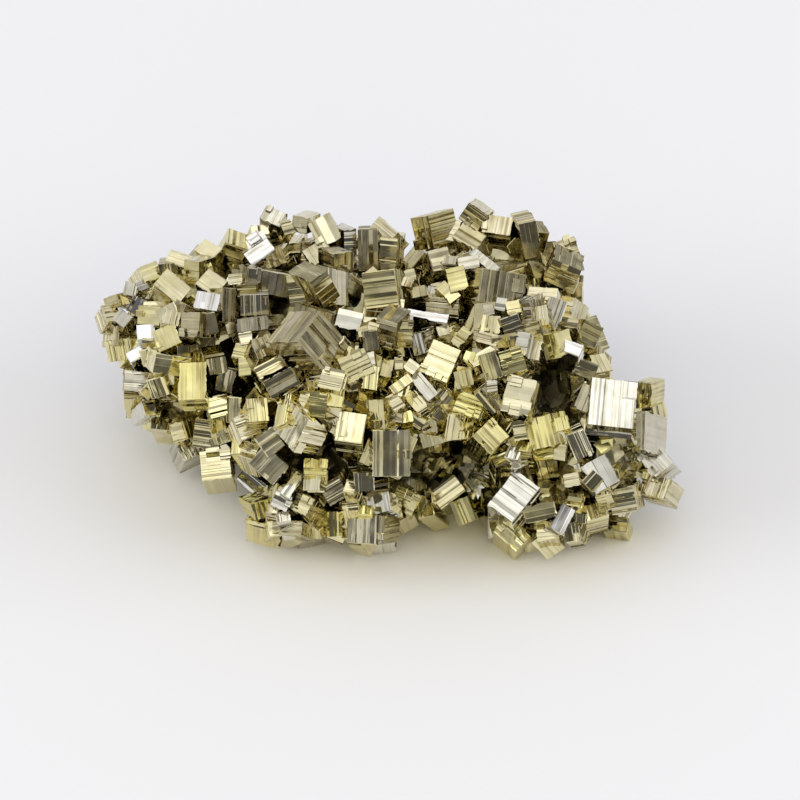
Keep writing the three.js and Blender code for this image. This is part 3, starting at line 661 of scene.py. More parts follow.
# Striated cubes. A face's strips run along one edge, and at right angles on its neighbours.
STRIP = 0.27  # the usual width of a strip
UNEVEN = 1.7  # how much strips differ in width
STEP = 0.07  # how far strips lie under the face at most
SLOPE = 0.95  # how wide the riser between two strips is for its height
SEAM = 0.004  # what is left beside each riser
THINNEST = 0.012  # a strip narrower than this is left out
TILT = 0.06  # how far strips lean out of the face, in radians
STEEP = 0.25, math.atan(0.5)  # the same for the steep ones
LEDGES = 0.35  # the share of faces with a ledge
LEDGE = 0.08, 0.18  # how high the ledge is
ROUND = 0.10  # how much is taken off an edge
PAD = 0.3  # how far a bar runs on past the crystal
CELL = 12.0  # each crystal's bars are cut in a cell of their own
PER_ROW = 32
CORE = 0.86  # the share of each lobe that is solid
PIT_DEPTH = 5.0
BASE = -2  # the number on the faces of the flat underside
# Each bar's direction, the one across its strips and the one that its stepped sides face
BARS = {"w": ((0, 1, 2), (1, 2, 0), (2, 0, 1)), "h": ((1, 0, 2), (0, 2, 1), (2, 1, 0))}


def side_outline(length, reach, strip, tilts, share, rng):
    """One stepped side of an outline: points along it and their distance from the middle."""
    half = length / 2
    count = max(3, int(round(length / strip)))
    widths = rng.uniform(0.3, 1.0, count) ** UNEVEN
    cuts = np.concatenate([[0], np.cumsum(widths)]) / widths.sum() * length - half
    level = rng.uniform(0, STEP, count)
    if rng.random() < LEDGES:
        ledge = rng.integers(1, count)
        drop = rng.uniform(*LEDGE)
        if rng.random() < 0.5:
            level[ledge:] += drop
        else:
            level[:ledge] += drop
    tilt = rng.normal(0, tilts, count)
    steep = rng.random(count) < share
    tilt[steep] = (rng.uniform(*STEEP, count) * rng.choice((-1, 1), count))[steep]
    soft = min(ROUND * rng.uniform(0.7, 1.5), length / 8)
    points = [(-half - PAD, reach - soft), (-half, reach - soft)]
    for k in range(count):
        before = abs(level[k] - level[k - 1]) * SLOPE if k else 0
        after = abs(level[k + 1] - level[k]) * SLOPE if k < count - 1 else 0
        a = cuts[k] + before + SEAM if k else -half + soft
        b = cuts[k + 1] - after - SEAM if k < count - 1 else half - soft
        if b <= a + THINNEST:
            continue
        m = (a + b) / 2
        for u in (a, b):
            points.append((u, reach - max(level[k] + tilt[k] * (u - m), 0)))
    points += [(half, reach - soft), (half + PAD, reach - soft)]
    return points


def cell_of(k):
    return np.array([(k % PER_ROW) * CELL, (k // PER_ROW) * CELL, 0.0])


def add_bar(k, axis, u, v, c, rng, out):
    """A bar along one axis whose outline has stepped sides, in the crystal's own cell."""
    edges = c["edges"]
    tilts = TILT * (0.25 + 1.2 * chance(k, 31) ** 1.5)
    top = side_outline(edges[u], edges[v] / 2, c["strip"], tilts, c["steep"], rng)
    low = side_outline(edges[u], edges[v] / 2, c["strip"], tilts, c["steep"], rng)
    ring = top + [(a, -b) for a, b in reversed(low)]
    count = len(ring)
    reach = edges[axis] / 2 + PAD
    cell = cell_of(k)
    base = len(out["points"])
    for end in (-reach, reach):
        for a, b in ring:
            p = np.zeros(3)
            p[axis], p[u], p[v] = end, a, b
            out["points"].append(p + cell)
    faces = [[base + i, base + (i + 1) % count, base + count + (i + 1) % count,
              base + count + i] for i in range(count)]
    faces += [[base + i for i in reversed(range(count))],
              [base + count + i for i in range(count)]]
    for f in faces:
        out["faces"].append(f[::-1] if (axis, u, v) in BARS["w"] else f)
        out["crystal"].append(k)
        out["side"].append(v)


def linked(name, data):
    """An object in the scene with the given data."""
    obj = bpy.data.objects.new(name, data)
    bpy.context.scene.collection.objects.link(obj)
    return obj


def mesh_object(name, points, faces, **numbers):
    """A mesh object of its own, with whole numbers kept on its faces."""
    mesh = bpy.data.meshes.new(name)
    mesh.from_pydata([tuple(p) for p in points], [], faces)
    for key, values in numbers.items():
        mesh.attributes.new(key, "INT", "FACE").data.foreach_set("value", values)
    return linked(name, mesh)


def shelf(name, objects):
    """A collection that holds only the given objects."""
    collection = bpy.data.collections.new(name)
    bpy.context.scene.collection.children.link(collection)
    for obj in objects:
        collection.objects.link(obj)
        bpy.context.scene.collection.objects.unlink(obj)
    return collection


def clear(collection):
    for obj in list(collection.objects):
        mesh = obj.data
        bpy.data.objects.remove(obj)
        bpy.data.meshes.remove(mesh)
    bpy.data.collections.remove(collection)


def baked(name, mesh, tree, **values):
    """The mesh that a Geometry Nodes tree makes of a mesh."""
    host = linked(name, mesh)
    grow = host.modifiers.new(name, "NODES")
    grow.node_group = tree
    for identifier, value in values.items():
        grow[identifier] = value
    depsgraph = bpy.context.evaluated_depsgraph_get()
    made = bpy.data.meshes.new_from_object(host.evaluated_get(depsgraph))
    bpy.data.objects.remove(host)
    bpy.data.meshes.remove(mesh)
    return made


def joined(operation, name, *groups):
    """The union or common part of a group of objects, or one group less the other."""
    shelves = [shelf(name, objects) for objects in groups]
    tree = bpy.data.node_groups.new(name, "GeometryNodeTree")
    tree.interface.new_socket("Geometry", in_out="INPUT", socket_type="NodeSocketGeometry")
    tree.interface.new_socket("Geometry", in_out="OUTPUT", socket_type="NodeSocketGeometry")
    boolean = tree.nodes.new("GeometryNodeMeshBoolean")
    boolean.operation, boolean.solver = operation, "MANIFOLD"
    for index, collection in enumerate(shelves):
        info = tree.nodes.new("GeometryNodeCollectionInfo")
        info.inputs["Collection"].default_value = collection
        info.inputs["Separate Children"].default_value = True
        if operation == "DIFFERENCE" and index == 0:
            real = tree.nodes.new("GeometryNodeRealizeInstances")
            tree.links.new(info.outputs[0], real.inputs[0])
            tree.links.new(real.outputs[0], boolean.inputs["Mesh 1"])
        else:
            tree.links.new(info.outputs[0], boolean.inputs["Mesh 2"])
    end = tree.nodes.new("NodeGroupOutput")
    tree.links.new(boolean.outputs[0], end.inputs[0])
    result = baked(name, bpy.data.meshes.new(name), tree)
    bpy.data.node_groups.remove(tree)
    for collection in shelves:
        clear(collection)
    return result


def arrays(mesh):
    """A mesh's points, corner points, face starts, face lengths and kept numbers."""
    points = np.empty(len(mesh.vertices) * 3)
    mesh.vertices.foreach_get("co", points)
    corners = np.empty(len(mesh.loops), int)
    mesh.loops.foreach_get("vertex_index", corners)
    starts = np.empty(len(mesh.polygons), int)
    mesh.polygons.foreach_get("loop_start", starts)
    lengths = np.empty(len(mesh.polygons), int)
    mesh.polygons.foreach_get("loop_total", lengths)
    kept = {}
    for key in ("crystal", "side"):
        kept[key] = np.empty(len(mesh.polygons), int)
        mesh.attributes[key].data.foreach_get("value", kept[key])
    return points.reshape(-1, 3), corners, starts, lengths, kept


def striated(crystals):
    """One object for each crystal: the common part of its three stepped bars."""
    bars = [{"points": [], "faces": [], "crystal": [], "side": []} for _ in range(3)]
    for k, c in enumerate(crystals):
        rng = np.random.default_rng(1000 + k)
        for bar, (axis, u, v) in zip(bars, BARS[c["stripe"]]):
            add_bar(k, axis, u, v, c, rng, bar)
    mesh = joined("INTERSECT", "bars", [
        mesh_object(f"bars_{i}", **bar) for i, bar in enumerate(bars)])
    points, corners, starts, lengths, kept = arrays(mesh)
    bpy.data.meshes.remove(mesh)
    cell = np.rint(points[:, :2] / CELL).astype(int)
    owner = cell[:, 1] * PER_ROW + cell[:, 0]
    face_owner = owner[corners[starts]]
    place = np.empty(len(points), int)
    made = []
    for k, c in enumerate(crystals):
        mine = np.nonzero(owner == k)[0]
        place[mine] = np.arange(len(mine))
        sides = np.nonzero(face_owner == k)[0]
        faces = [place[corners[starts[f]:starts[f] + lengths[f]]].tolist() for f in sides]
        made.append(mesh_object(
            f"crystal_{k}", (points[mine] - cell_of(k)) @ c["axes"] + c["centre"], faces,
            crystal=[k] * len(faces), side=kept["side"][sides].tolist()))
    return made


def round_object(at, axes, rings, around):
    """An ellipsoid with the given half axes."""
    ax, ay, az = axes
    points, faces = [at + az], []
    for i in range(1, rings):
        a = math.pi * i / rings
        for j in range(around):
            b = 2 * math.pi * j / around
            points.append(
                at + math.sin(a) * (math.cos(b) * ax + math.sin(b) * ay) + math.cos(a) * az)
    points.append(at - az)
    last = len(points) - 1
    for j in range(around):
        nxt = (j + 1) % around
        faces.append([0, 1 + j, 1 + nxt])
        for i in range(rings - 2):
            a, b = 1 + i * around, 1 + (i + 1) * around
            faces.append([a + j, b + j, b + nxt, a + nxt])
        a = 1 + (rings - 2) * around
        faces.append([last, a + nxt, a + j])
    return mesh_object("lobe", points, faces, crystal=[-1] * len(faces), side=[0] * len(faces))


def core_object():
    """The lobes that the crystals grow from, dug out along the line of sight at the clefts."""
    lobes = linked("dug", joined("UNION", "lobes", [
        round_object(at, np.diag(r * CORE), 11, 20) for at, r in LOBES]))
    pits = [
        round_object(spot(across, up, core_depth(across, up) - 1),
                     (RIGHT * width, UP * height, NEAR * PIT_DEPTH), 8, 12)
        for across, up, width, height in PITS
    ]
    return linked("core", joined("DIFFERENCE", "core", [lobes], pits))


def under_floor():
    """A block that takes in everything under the flat underside."""
    wide, low = (-60.0, 60.0), (-40.0, 0.0)
    points = [(x, y, z) for z in low for y in wide for x in wide]
    faces = [[0, 2, 3, 1], [4, 5, 7, 6], [0, 1, 5, 4], [2, 6, 7, 3], [0, 4, 6, 2], [1, 3, 7, 5]]
    return mesh_object("slab", points, faces, crystal=[BASE] * 6, side=[0] * 6)


def biggest_shell(points, corners, starts, lengths):
    """Which faces belong to the largest connected piece."""
    parent = np.arange(len(points))

    def root(i):
        while parent[i] != i:
            parent[i] = parent[parent[i]]
            i = parent[i]
        return i

    for s, n in zip(starts, lengths):
        a = root(corners[s])
        for c in corners[s + 1:s + n]:
            b = root(c)
            if a != b:
                parent[b] = a
    roots = np.array([root(corners[s]) for s in starts])
    names, counts = np.unique(roots, return_counts=True)
    return roots == names[counts.argmax()]


def parts(mesh, measured_count):
    """The measured crystals and everything else of the cut cluster, as two objects in metres."""
    points, corners, starts, lengths, kept = arrays(mesh)
    keep = biggest_shell(points, corners, starts, lengths)
    bpy.data.meshes.remove(mesh)
    measured = (kept["crystal"] >= 0) & (kept["crystal"] < measured_count)
    made = []
    for name, chosen in (("pyrite_crystals", measured), ("pyrite_ground", ~measured)):
        mine = keep & chosen
        faces = [corners[s:s + n] for s, n in zip(starts[mine], lengths[mine])]
        used = np.unique(np.concatenate(faces))
        place = np.full(len(points), -1)
        place[used] = np.arange(len(used))
        made.append(mesh_object(
            name, points[used] * MM, [place[f].tolist() for f in faces],
            crystal=kept["crystal"][mine].tolist(), side=kept["side"][mine].tolist()))
    return made


rows = [*TRACED, *SMALL]
crystals = [traced(row, k) for k, row in enumerate(rows)]
# Where each measured crystal is seen, the room it takes there and how near its front is
seen = [
    (row[0], row[1], 0.33 * min(row[2], row[3]), core_depth(row[0], row[1]) + row[7])
    for row in rows
]
crystals += [c for k in range(len(TRACED)) for c in outgrowths(crystals[k], k)]
measured_count = len(crystals)
crystals += backing(seen) + filling(seen) + deep_layer(seen) + in_clefts()
core = core_object()
whole = linked("whole", joined("UNION", "crystals", [*striated(crystals), core]))
cluster, ground = parts(joined("DIFFERENCE", "cut", [whole], [under_floor()]), measured_count)


# The look of the core's own faces, and how pale the flat underside is
CORE_LOOK = {"pale": 0.3, "gold": 0.4, "grey": 0.0, "lined": 0.0}
BASE_PALE = -0.4


def depth_under(p):
    """How far points lie under the surface of the lobes, in millimetres."""
    found = [
        (1 - np.sqrt((((p - at) / r) ** 2).sum(axis=1))) * r.mean() for at, r in LOBES
    ]
    return np.max(found, axis=0)


def keep_depth(mesh, depth):
    mesh.attributes.new("depth", "FLOAT", "POINT").data.foreach_set("value", depth)


def pale_and_painted_light(c):
    """How pale a crystal is, with painted shade dimming those at the back and painted light paling
    those low in front.
    """
    pale = LOOKS[c["look"]][0]
    if pale >= 0.9:
        return pale
    height = in_picture(c["centre"])[1]
    # Painted shade higher up at the back and painted light low in front, by the crystal's height in
    # view
    return min(0.84, pale - PAINTED_LIGHT_AND_SHADE_BY_HEIGHT * min(1, max(-0.8, (height + 2) / 8)))


def set_face_maps(obj):
    """The striations' UV map, in millimetres along and across them, and each face's look."""
    mesh = obj.data
    points, corners, starts, lengths, kept = arrays(mesh)
    points = points / MM
    face = np.repeat(np.arange(len(starts)), lengths)
    normals = np.empty(len(starts) * 3)
    mesh.polygons.foreach_get("normal", normals)
    normals = normals.reshape(-1, 3)
    uv = points[corners][:, :2]
    look = {key: np.full(len(starts), value) for key, value in CORE_LOOK.items()}
    look["pale"][kept["crystal"] == BASE] = BASE_PALE
    who = kept["crystal"][face]
    side = kept["side"][face]
    for k, c in enumerate(crystals):
        mine = np.nonzero(who == k)[0]
        if not len(mine):
            continue
        local = (points[corners[mine]] - c["centre"]) @ c["axes"].T
        facing = np.sign(normals[face[mine]] @ c["axes"].T)
        for along, across, v in BARS[c["stripe"]]:
            here = side[mine] == v
            # Each face reads a part of the noise of its own
            shift = 17.0 * (k + 1) + 5.3 * v + 2.9 * facing[here, v]
            uv[mine[here], 0] = local[here, along] + shift
            uv[mine[here], 1] = local[here, across] + 0.37 * shift
        own = kept["crystal"] == k
        for key, value in zip(look, (pale_and_painted_light(c), *LOOKS[c["look"]][1:], chance(k, 35))):
            look[key][own] = value
    layer = mesh.uv_layers.new(name="striations")
    layer.uv.foreach_set("vector", uv.astype(np.float32).ravel())
    for key, values in look.items():
        mesh.attributes.new(key, "FLOAT", "FACE").data.foreach_set("value", values)
    # How deep each point lies, which sets the painted shade between the crystals and in the clefts
    keep_depth(mesh, depth_under(points))


set_face_maps(cluster)
set_face_maps(ground)


def group(name, inputs, outputs):
    """A node group with named sockets: its tree, its input node and its output node."""
    tree = bpy.data.node_groups.new(name, "ShaderNodeTree")
    for label, kind, value in inputs:
        socket = tree.interface.new_socket(label, in_out="INPUT", socket_type=kind)
        if value is not None:
            socket.default_value = value
    for label, kind in outputs:
        tree.interface.new_socket(label, in_out="OUTPUT", socket_type=kind)
    return tree, tree.nodes.new("NodeGroupInput"), tree.nodes.new("NodeGroupOutput")


def wire(tree, *pairs):
    for a, b in pairs:
        tree.links.new(a, b)


def feed(tree, socket, value):
    """Link a socket to another one, or set it to a value."""
    if isinstance(value, bpy.types.NodeSocket):
        tree.links.new(value, socket)
    elif value is not None:
        socket.default_value = value


def maths(tree, operation, a, b=None, c=None, clamp=False):
    """A maths node on sockets or numbers: its result."""
    node = tree.nodes.new("ShaderNodeMath")
    node.operation, node.use_clamp = operation, clamp
    for slot, value in enumerate((a, b, c)):
        feed(tree, node.inputs[slot], value)
    return node.outputs[0]


def noise(tree, vector, scale, detail, rough=0.5):
    node = tree.nodes.new("ShaderNodeTexNoise")
    node.inputs["Scale"].default_value = scale
    node.inputs["Detail"].default_value = detail
    node.inputs["Roughness"].default_value = rough
    tree.links.new(vector, node.inputs["Vector"])
    return node.outputs["Fac"]


def ramp(tree, value, low, high, to_low=0.0, to_high=1.0):
    node = tree.nodes.new("ShaderNodeMapRange")
    tree.links.new(value, node.inputs["Value"])
    for label, number in (("From Min", low), ("From Max", high),
                          ("To Min", to_low), ("To Max", to_high)):
        node.inputs[label].default_value = number
    return node.outputs["Result"]


def mixed(tree, factor, a, b):
    node = tree.nodes.new("ShaderNodeMix")
    node.data_type, node.blend_type = "RGBA", "MIX"
    for slot, value in ((0, factor), (6, a), (7, b)):
        feed(tree, node.inputs[slot], value)
    return node.outputs[2]


def combined(tree, x, y, z=0.0):
    node = tree.nodes.new("ShaderNodeCombineXYZ")
    for slot, value in enumerate((x, y, z)):
        feed(tree, node.inputs[slot], value)
    return node.outputs[0]


def separated(tree, vector):
    node = tree.nodes.new("ShaderNodeSeparateXYZ")
    tree.links.new(vector, node.inputs[0])
    return node.outputs


def striation_group():
    """Fine parallel lines across a face, from its place along and across, in millimetres."""
    tree, ins, outs = group(
        "striation",
        [("Place", "NodeSocketVector", None), ("Lines per mm", "NodeSocketFloat", 7.0),
         ("Cover", "NodeSocketFloat", 0.5)],
        [("Height", "NodeSocketFloat"), ("Lines", "NodeSocketFloat")],
    )
    along, across = separated(tree, ins.outputs["Place"])[:2]
    layers = []
    for stretch, times, seed in ((0.03, 1.0, 3.1), (0.05, 0.42, 11.7), (0.02, 2.3, 23.9)):
        lines = maths(tree, "MULTIPLY", across, ins.outputs["Lines per mm"])
        spread = combined(tree, maths(tree, "MULTIPLY", along, stretch),
                          maths(tree, "MULTIPLY", lines, times), seed)
        layers.append(noise(tree, spread, 1.0, 1.0))
    broad = combined(tree, maths(tree, "MULTIPLY", along, 0.35),
                     maths(tree, "MULTIPLY", across, 0.9))
    cover = ramp(tree, noise(tree, broad, 1.0, 2.0), 0.35, 0.62, 0.15, 1.0)
    cover = maths(tree, "MULTIPLY", cover, ins.outputs["Cover"])
    fine = maths(tree, "ADD", maths(tree, "MULTIPLY", layers[0], 0.55),
                 maths(tree, "MULTIPLY", layers[2], 0.25))
    total = maths(tree, "ADD", fine, maths(tree, "MULTIPLY", layers[1], 0.9))
    wire(tree, (maths(tree, "MULTIPLY", total, cover), outs.inputs["Height"]),
         (maths(tree, "MULTIPLY", ramp(tree, layers[1], 0.42, 0.62), cover), outs.inputs["Lines"]))
    return tree


# Scales of the noises: how many of their spots fit in a metre
PATCHES, SPOTS, SWELL, GRAIN = 240.0, 700.0, 330.0, 2600.0
# Colours of the palest crystals, of the painted shade on what lies low between the crystals, and of
# the blacker painted shade in the deep clefts
PALEST = (0.95, 0.94, 0.91, 1.0)
PAINTED_SHADE_LOW = (0.17, 0.155, 0.085, 1.0)
PAINTED_SHADE_DEEPEST = (0.1, 0.09, 0.06, 1.0)


def pyrite_tone_and_painted_shade_group():
    """Pyrite's colour from a crystal's look and soft patches, with painted shade that grows with the
    depth in the cluster.
    """
    tree, ins, outs = group(
        "pyrite_tone_and_painted_shade",
        [("Place", "NodeSocketVector", None), ("Fresh", "NodeSocketColor", (1, 1, 1, 1)),
         ("Grey", "NodeSocketColor", (1, 1, 1, 1)), ("Gold", "NodeSocketColor", (1, 1, 1, 1)),
         ("Brown", "NodeSocketColor", (1, 1, 1, 1)), ("Pale", "NodeSocketFloat", 0.5),
         ("Golden", "NodeSocketFloat", 0.0), ("Greyness", "NodeSocketFloat", 0.0),
         ("Depth", "NodeSocketFloat", 0.0)],
        [("Color", "NodeSocketColor"), ("Mask", "NodeSocketFloat")],
    )
    wide = noise(tree, ins.outputs["Place"], PATCHES, 3.0, 0.55)
    gold = maths(tree, "ADD", ins.outputs["Golden"], ramp(tree, wide, 0.35, 0.65, -0.35, 0.1),
                 clamp=True)
    small = noise(tree, ins.outputs["Place"], SPOTS, 2.0)
    brown = maths(tree, "SUBTRACT", ramp(tree, small, 0.3, 0.7, 0.45, 0.95),
                  ins.outputs["Pale"], clamp=True)
    brown = maths(tree, "MULTIPLY", brown, 0.6)
    color = mixed(tree, ins.outputs["Greyness"], ins.outputs["Fresh"], ins.outputs["Grey"])
    color = mixed(tree, gold, color, ins.outputs["Gold"])
    color = mixed(tree, ramp(tree, ins.outputs["Pale"], 0.86, 1.0), color, PALEST)
    color = mixed(tree, brown, color, ins.outputs["Brown"])
    # Painted shade: the colour darkens with depth under the lobes' surface, blackest in the deep
    # clefts; the same masks make those parts rougher
    sunk = ramp(tree, ins.outputs["Depth"], 0.4, 2.6, 0.0, 0.75)
    color = mixed(tree, sunk, color, PAINTED_SHADE_LOW)
    deep = ramp(tree, ins.outputs["Depth"], 2.2, 3.6)
    color = mixed(tree, deep, color, PAINTED_SHADE_DEEPEST)
    mask = maths(tree, "MULTIPLY_ADD", brown, 0.25, sunk)
    mask = maths(tree, "MULTIPLY_ADD", deep, 1.3, mask)
    wire(tree, (color, outs.inputs["Color"]), (mask, outs.inputs["Mask"]))
    return tree


def placed(tree, kind):
    node = tree.nodes.new("ShaderNodeGroup")
    node.node_tree = kind
    return node


def attribute(tree, name):
    node = tree.nodes.new("ShaderNodeAttribute")
    node.attribute_name = name
    return node.outputs["Fac"]


COLOURS = {
    "Fresh": (0.82, 0.76, 0.52),
    "Grey": (0.74, 0.735, 0.68),
    "Gold": (0.83, 0.75, 0.30),
    "Brown": (0.28, 0.225, 0.10),
}
LINES = 8.0  # fine lines in a millimetre
POLISH = 0.06  # the roughness of a clean face
RELIEF = 0.011  # the height in millimetres that the bump stands for
SWELL_HEIGHT = 14.0  # how much the broad unevenness of a face outweighs its fine lines


def pyrite_material():
    """Bright metallic pyrite with fine striations, a faintly tarnished tone, duller patches and
    painted shade between the crystals and in the clefts.
    """
    material = bpy.data.materials.new("pyrite_crystal")
    material.use_nodes = True
    tree = material.node_tree
    shader = tree.nodes["Principled BSDF"]
    shader.inputs["Metallic"].default_value = 1.0
    place = tree.nodes.new("ShaderNodeTexCoord").outputs["Object"]
    face_map = tree.nodes.new("ShaderNodeUVMap")
    face_map.uv_map = "striations"
    striae = placed(tree, striation_group())
    striae.inputs["Lines per mm"].default_value = LINES
    # Colour from each crystal's tone and patches, with painted shade by depth
    pyrite_tone_and_painted_shade = placed(tree, pyrite_tone_and_painted_shade_group())
    for label, value in COLOURS.items():
        pyrite_tone_and_painted_shade.inputs[label].default_value = (*value, 1.0)
    wire(tree, (face_map.outputs[0], striae.inputs["Place"]),
         (place, pyrite_tone_and_painted_shade.inputs["Place"]),
         (attribute(tree, "pale"), pyrite_tone_and_painted_shade.inputs["Pale"]),
         (attribute(tree, "gold"), pyrite_tone_and_painted_shade.inputs["Golden"]),
         (attribute(tree, "grey"), pyrite_tone_and_painted_shade.inputs["Greyness"]),
         (attribute(tree, "depth"), pyrite_tone_and_painted_shade.inputs["Depth"]),
         (ramp(tree, attribute(tree, "lined"), 0.1, 0.9, 0.15, 1.1), striae.inputs["Cover"]))
    color = mixed(tree, maths(tree, "MULTIPLY", striae.outputs["Lines"], 0.75),
                  pyrite_tone_and_painted_shade.outputs["Color"], (*COLOURS["Brown"], 1.0))
    dull = maths(tree, "MULTIPLY_ADD", pyrite_tone_and_painted_shade.outputs["Mask"], 0.3, POLISH)
    grain = ramp(tree, noise(tree, place, GRAIN, 2.0, 0.6), 0.4, 0.7)
    dull = maths(tree, "MULTIPLY_ADD", grain, 0.08, dull)
    bump = tree.nodes.new("ShaderNodeBump")
    bump.inputs["Distance"].default_value = RELIEF * MM
    bump.inputs["Strength"].default_value = 1.0
    swell = noise(tree, place, SWELL, 1.0)
    height = maths(tree, "MULTIPLY_ADD", swell, SWELL_HEIGHT, striae.outputs["Height"])
    wire(tree, (color, shader.inputs["Base Color"]), (dull, shader.inputs["Roughness"]),
         (height, bump.inputs["Height"]), (bump.outputs[0], shader.inputs["Normal"]))
    return material


# Cubes for each square metre of cleft, their edges and lowest height in millimetres
DRUSE = {"Density": 2.2e5, "Smallest": 0.5, "Largest": 1.7, "Lowest": 1.9, "Seed": 11}


def small_cube(name, shift):
    """A small cube with worn edges, in units of its own edge."""
    cube = bmesh.new()
    bmesh.ops.create_cube(cube, size=1.0)
    bmesh.ops.bevel(cube, geom=cube.edges[:], offset=0.035, segments=1, affect="EDGES")
    mesh = bpy.data.meshes.new(name)
    cube.to_mesh(mesh)
    cube.free()
    layer = mesh.uv_layers.new(name="striations")
    for f in mesh.polygons:
        side = int(np.argmax(np.abs(f.normal)))
        u, v = ((1, 2), (2, 0), (0, 1))[side]
        for loop in f.loop_indices:
            at = mesh.vertices[mesh.loops[loop].vertex_index].co
            layer.uv[loop].vector = (at[u] + shift, at[v] + 7.0 * side)
    return linked(name, mesh)


def by_chance(tree, seed, offset, low=None, high=None):
    """A random number of each instance, or a random vector where a limit is one."""
    node = tree.nodes.new("FunctionNodeRandomValue")
    vector = isinstance(high, tuple)
    node.data_type = "FLOAT_VECTOR" if vector else "FLOAT"
    slot = 0 if vector else 2
    feed(tree, node.inputs[slot], low)
    feed(tree, node.inputs[slot + 1], high)
    wire(tree, (maths(tree, "ADD", seed, float(offset)), node.inputs["Seed"]))
    return node.outputs[0 if vector else 1]


def druse_tree(material, cubes):
    """Small cubes over a surface, more of them where its druse attribute is high."""
    tree = bpy.data.node_groups.new("druse", "GeometryNodeTree")
    tree.interface.new_socket("Geometry", in_out="INPUT", socket_type="NodeSocketGeometry")
    sockets = {}
    for label, value in DRUSE.items():
        kind = "NodeSocketInt" if isinstance(value, int) else "NodeSocketFloat"
        sockets[label] = tree.interface.new_socket(label, in_out="INPUT", socket_type=kind)
    tree.interface.new_socket("Geometry", in_out="OUTPUT", socket_type="NodeSocketGeometry")
    ins, outs = tree.nodes.new("NodeGroupInput"), tree.nodes.new("NodeGroupOutput")
    where = tree.nodes.new("GeometryNodeInputNamedAttribute")
    where.data_type = "FLOAT"
    where.inputs["Name"].default_value = "druse"
    dense = maths(tree, "MULTIPLY", where.outputs["Attribute"], ins.outputs["Density"])
    height = separated(tree, tree.nodes.new("GeometryNodeInputPosition").outputs[0])[2]
    lowest = maths(tree, "MULTIPLY", ins.outputs["Lowest"], MM)
    kinds = tree.nodes.new("GeometryNodeCollectionInfo")
    kinds.inputs["Collection"].default_value = cubes
    kinds.inputs["Separate Children"].default_value = True
    kinds.inputs["Reset Children"].default_value = True
    seed = ins.outputs["Seed"]
    turn = by_chance(tree, seed, 1, (0.0, 0.0, 0.0), (math.tau, math.tau, math.tau))
    skew = maths(tree, "POWER", by_chance(tree, seed, 2), 2.2)
    span = maths(tree, "SUBTRACT", ins.outputs["Largest"], ins.outputs["Smallest"])
    size = maths(tree, "MULTIPLY_ADD", skew, span, ins.outputs["Smallest"])
    edges = tree.nodes.new("ShaderNodeVectorMath")
    edges.operation = "SCALE"
    wire(tree, (by_chance(tree, seed, 3, (0.8, 0.8, 0.8), (1.2, 1.2, 1.2)), edges.inputs[0]),
         (maths(tree, "MULTIPLY", size, MM), edges.inputs["Scale"]))
    spread = tree.nodes.new("GeometryNodeDistributePointsOnFaces")
    place = tree.nodes.new("GeometryNodeInstanceOnPoints")
    place.inputs["Pick Instance"].default_value = True
    wire(tree, (ins.outputs["Geometry"], spread.inputs["Mesh"]),
         (dense, spread.inputs["Density"]), (seed, spread.inputs["Seed"]),
         (spread.outputs["Points"], place.inputs["Points"]),
         (maths(tree, "GREATER_THAN", height, lowest), place.inputs["Selection"]),
         (kinds.outputs[0], place.inputs["Instance"]), (turn, place.inputs["Rotation"]),
         (edges.outputs[0], place.inputs["Scale"]))
    last = place.outputs[0]
    for label, value in (("pale", by_chance(tree, seed, 4, 0.2, 1.0)),
                         ("gold", by_chance(tree, seed, 5))):
        store = tree.nodes.new("GeometryNodeStoreNamedAttribute")
        store.data_type, store.domain = "FLOAT", "INSTANCE"
        store.inputs["Name"].default_value = label
        wire(tree, (last, store.inputs["Geometry"]), (value, store.inputs["Value"]))
        last = store.outputs[0]
    real = tree.nodes.new("GeometryNodeRealizeInstances")
    look = tree.nodes.new("GeometryNodeSetMaterial")
    look.inputs["Material"].default_value = material
    wire(tree, (last, real.inputs[0]), (real.outputs[0], look.inputs["Geometry"]),
         (look.outputs[0], outs.inputs[0]))
    return tree, {sockets[label].identifier: value for label, value in DRUSE.items()}


def grow_druse(material):
    """A piece of small cubes in the clefts and on the lower crystals."""
    cubes = shelf("small_cubes", [small_cube("small_cube_a", 0.3), small_cube("small_cube_b", 2.1)])
    tree, values = druse_tree(material, cubes)
    soil = ground.data.copy()
    points = arrays(soil)[0] / MM
    grown = np.clip(depth_under(points) / 1.2, 0, 1) * (points[:, 2] > 0.8)
    patch = np.sin(points @ (0.9, 0.5, 0.7)) + np.sin(points @ (-0.6, 0.8, 0.9) + 2)
    grown *= 0.3 + (patch > 0.3)
    soil.attributes.new("druse", "FLOAT", "POINT").data.foreach_set("value", grown)
    made = baked("soil", soil, tree, **values)
    clear(cubes)
    made.name = "pyrite_druse"
    points = np.empty(len(made.vertices) * 3)
    made.vertices.foreach_get("co", points)
    # The small cubes count as 1 mm shallower, so they get less painted shade
    keep_depth(made, depth_under(points.reshape(-1, 3) / MM) - 1.0)
    return linked("pyrite_druse", made)


def hand_in(piece):
    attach(piece, "root")
    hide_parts("pyrite_cluster")


pyrite = pyrite_material()
for piece in (cluster, ground):
    piece.data.materials.append(pyrite)
    hand_in(piece)
hand_in(grow_druse(pyrite))


FLOOR_SIZE = 3.0
FLOOR_COLOUR = (0.86, 0.87, 0.91, 1)
ROOM_WARM, ROOM_COLD = (1.3, 1.10, 0.56, 1.0), (0.92, 1.0, 1.35, 1.0)
DOME = 0.6
LAMP_COOL, LAMP_WARM = (0.95, 0.98, 1.0), (1.0, 0.93, 0.75)


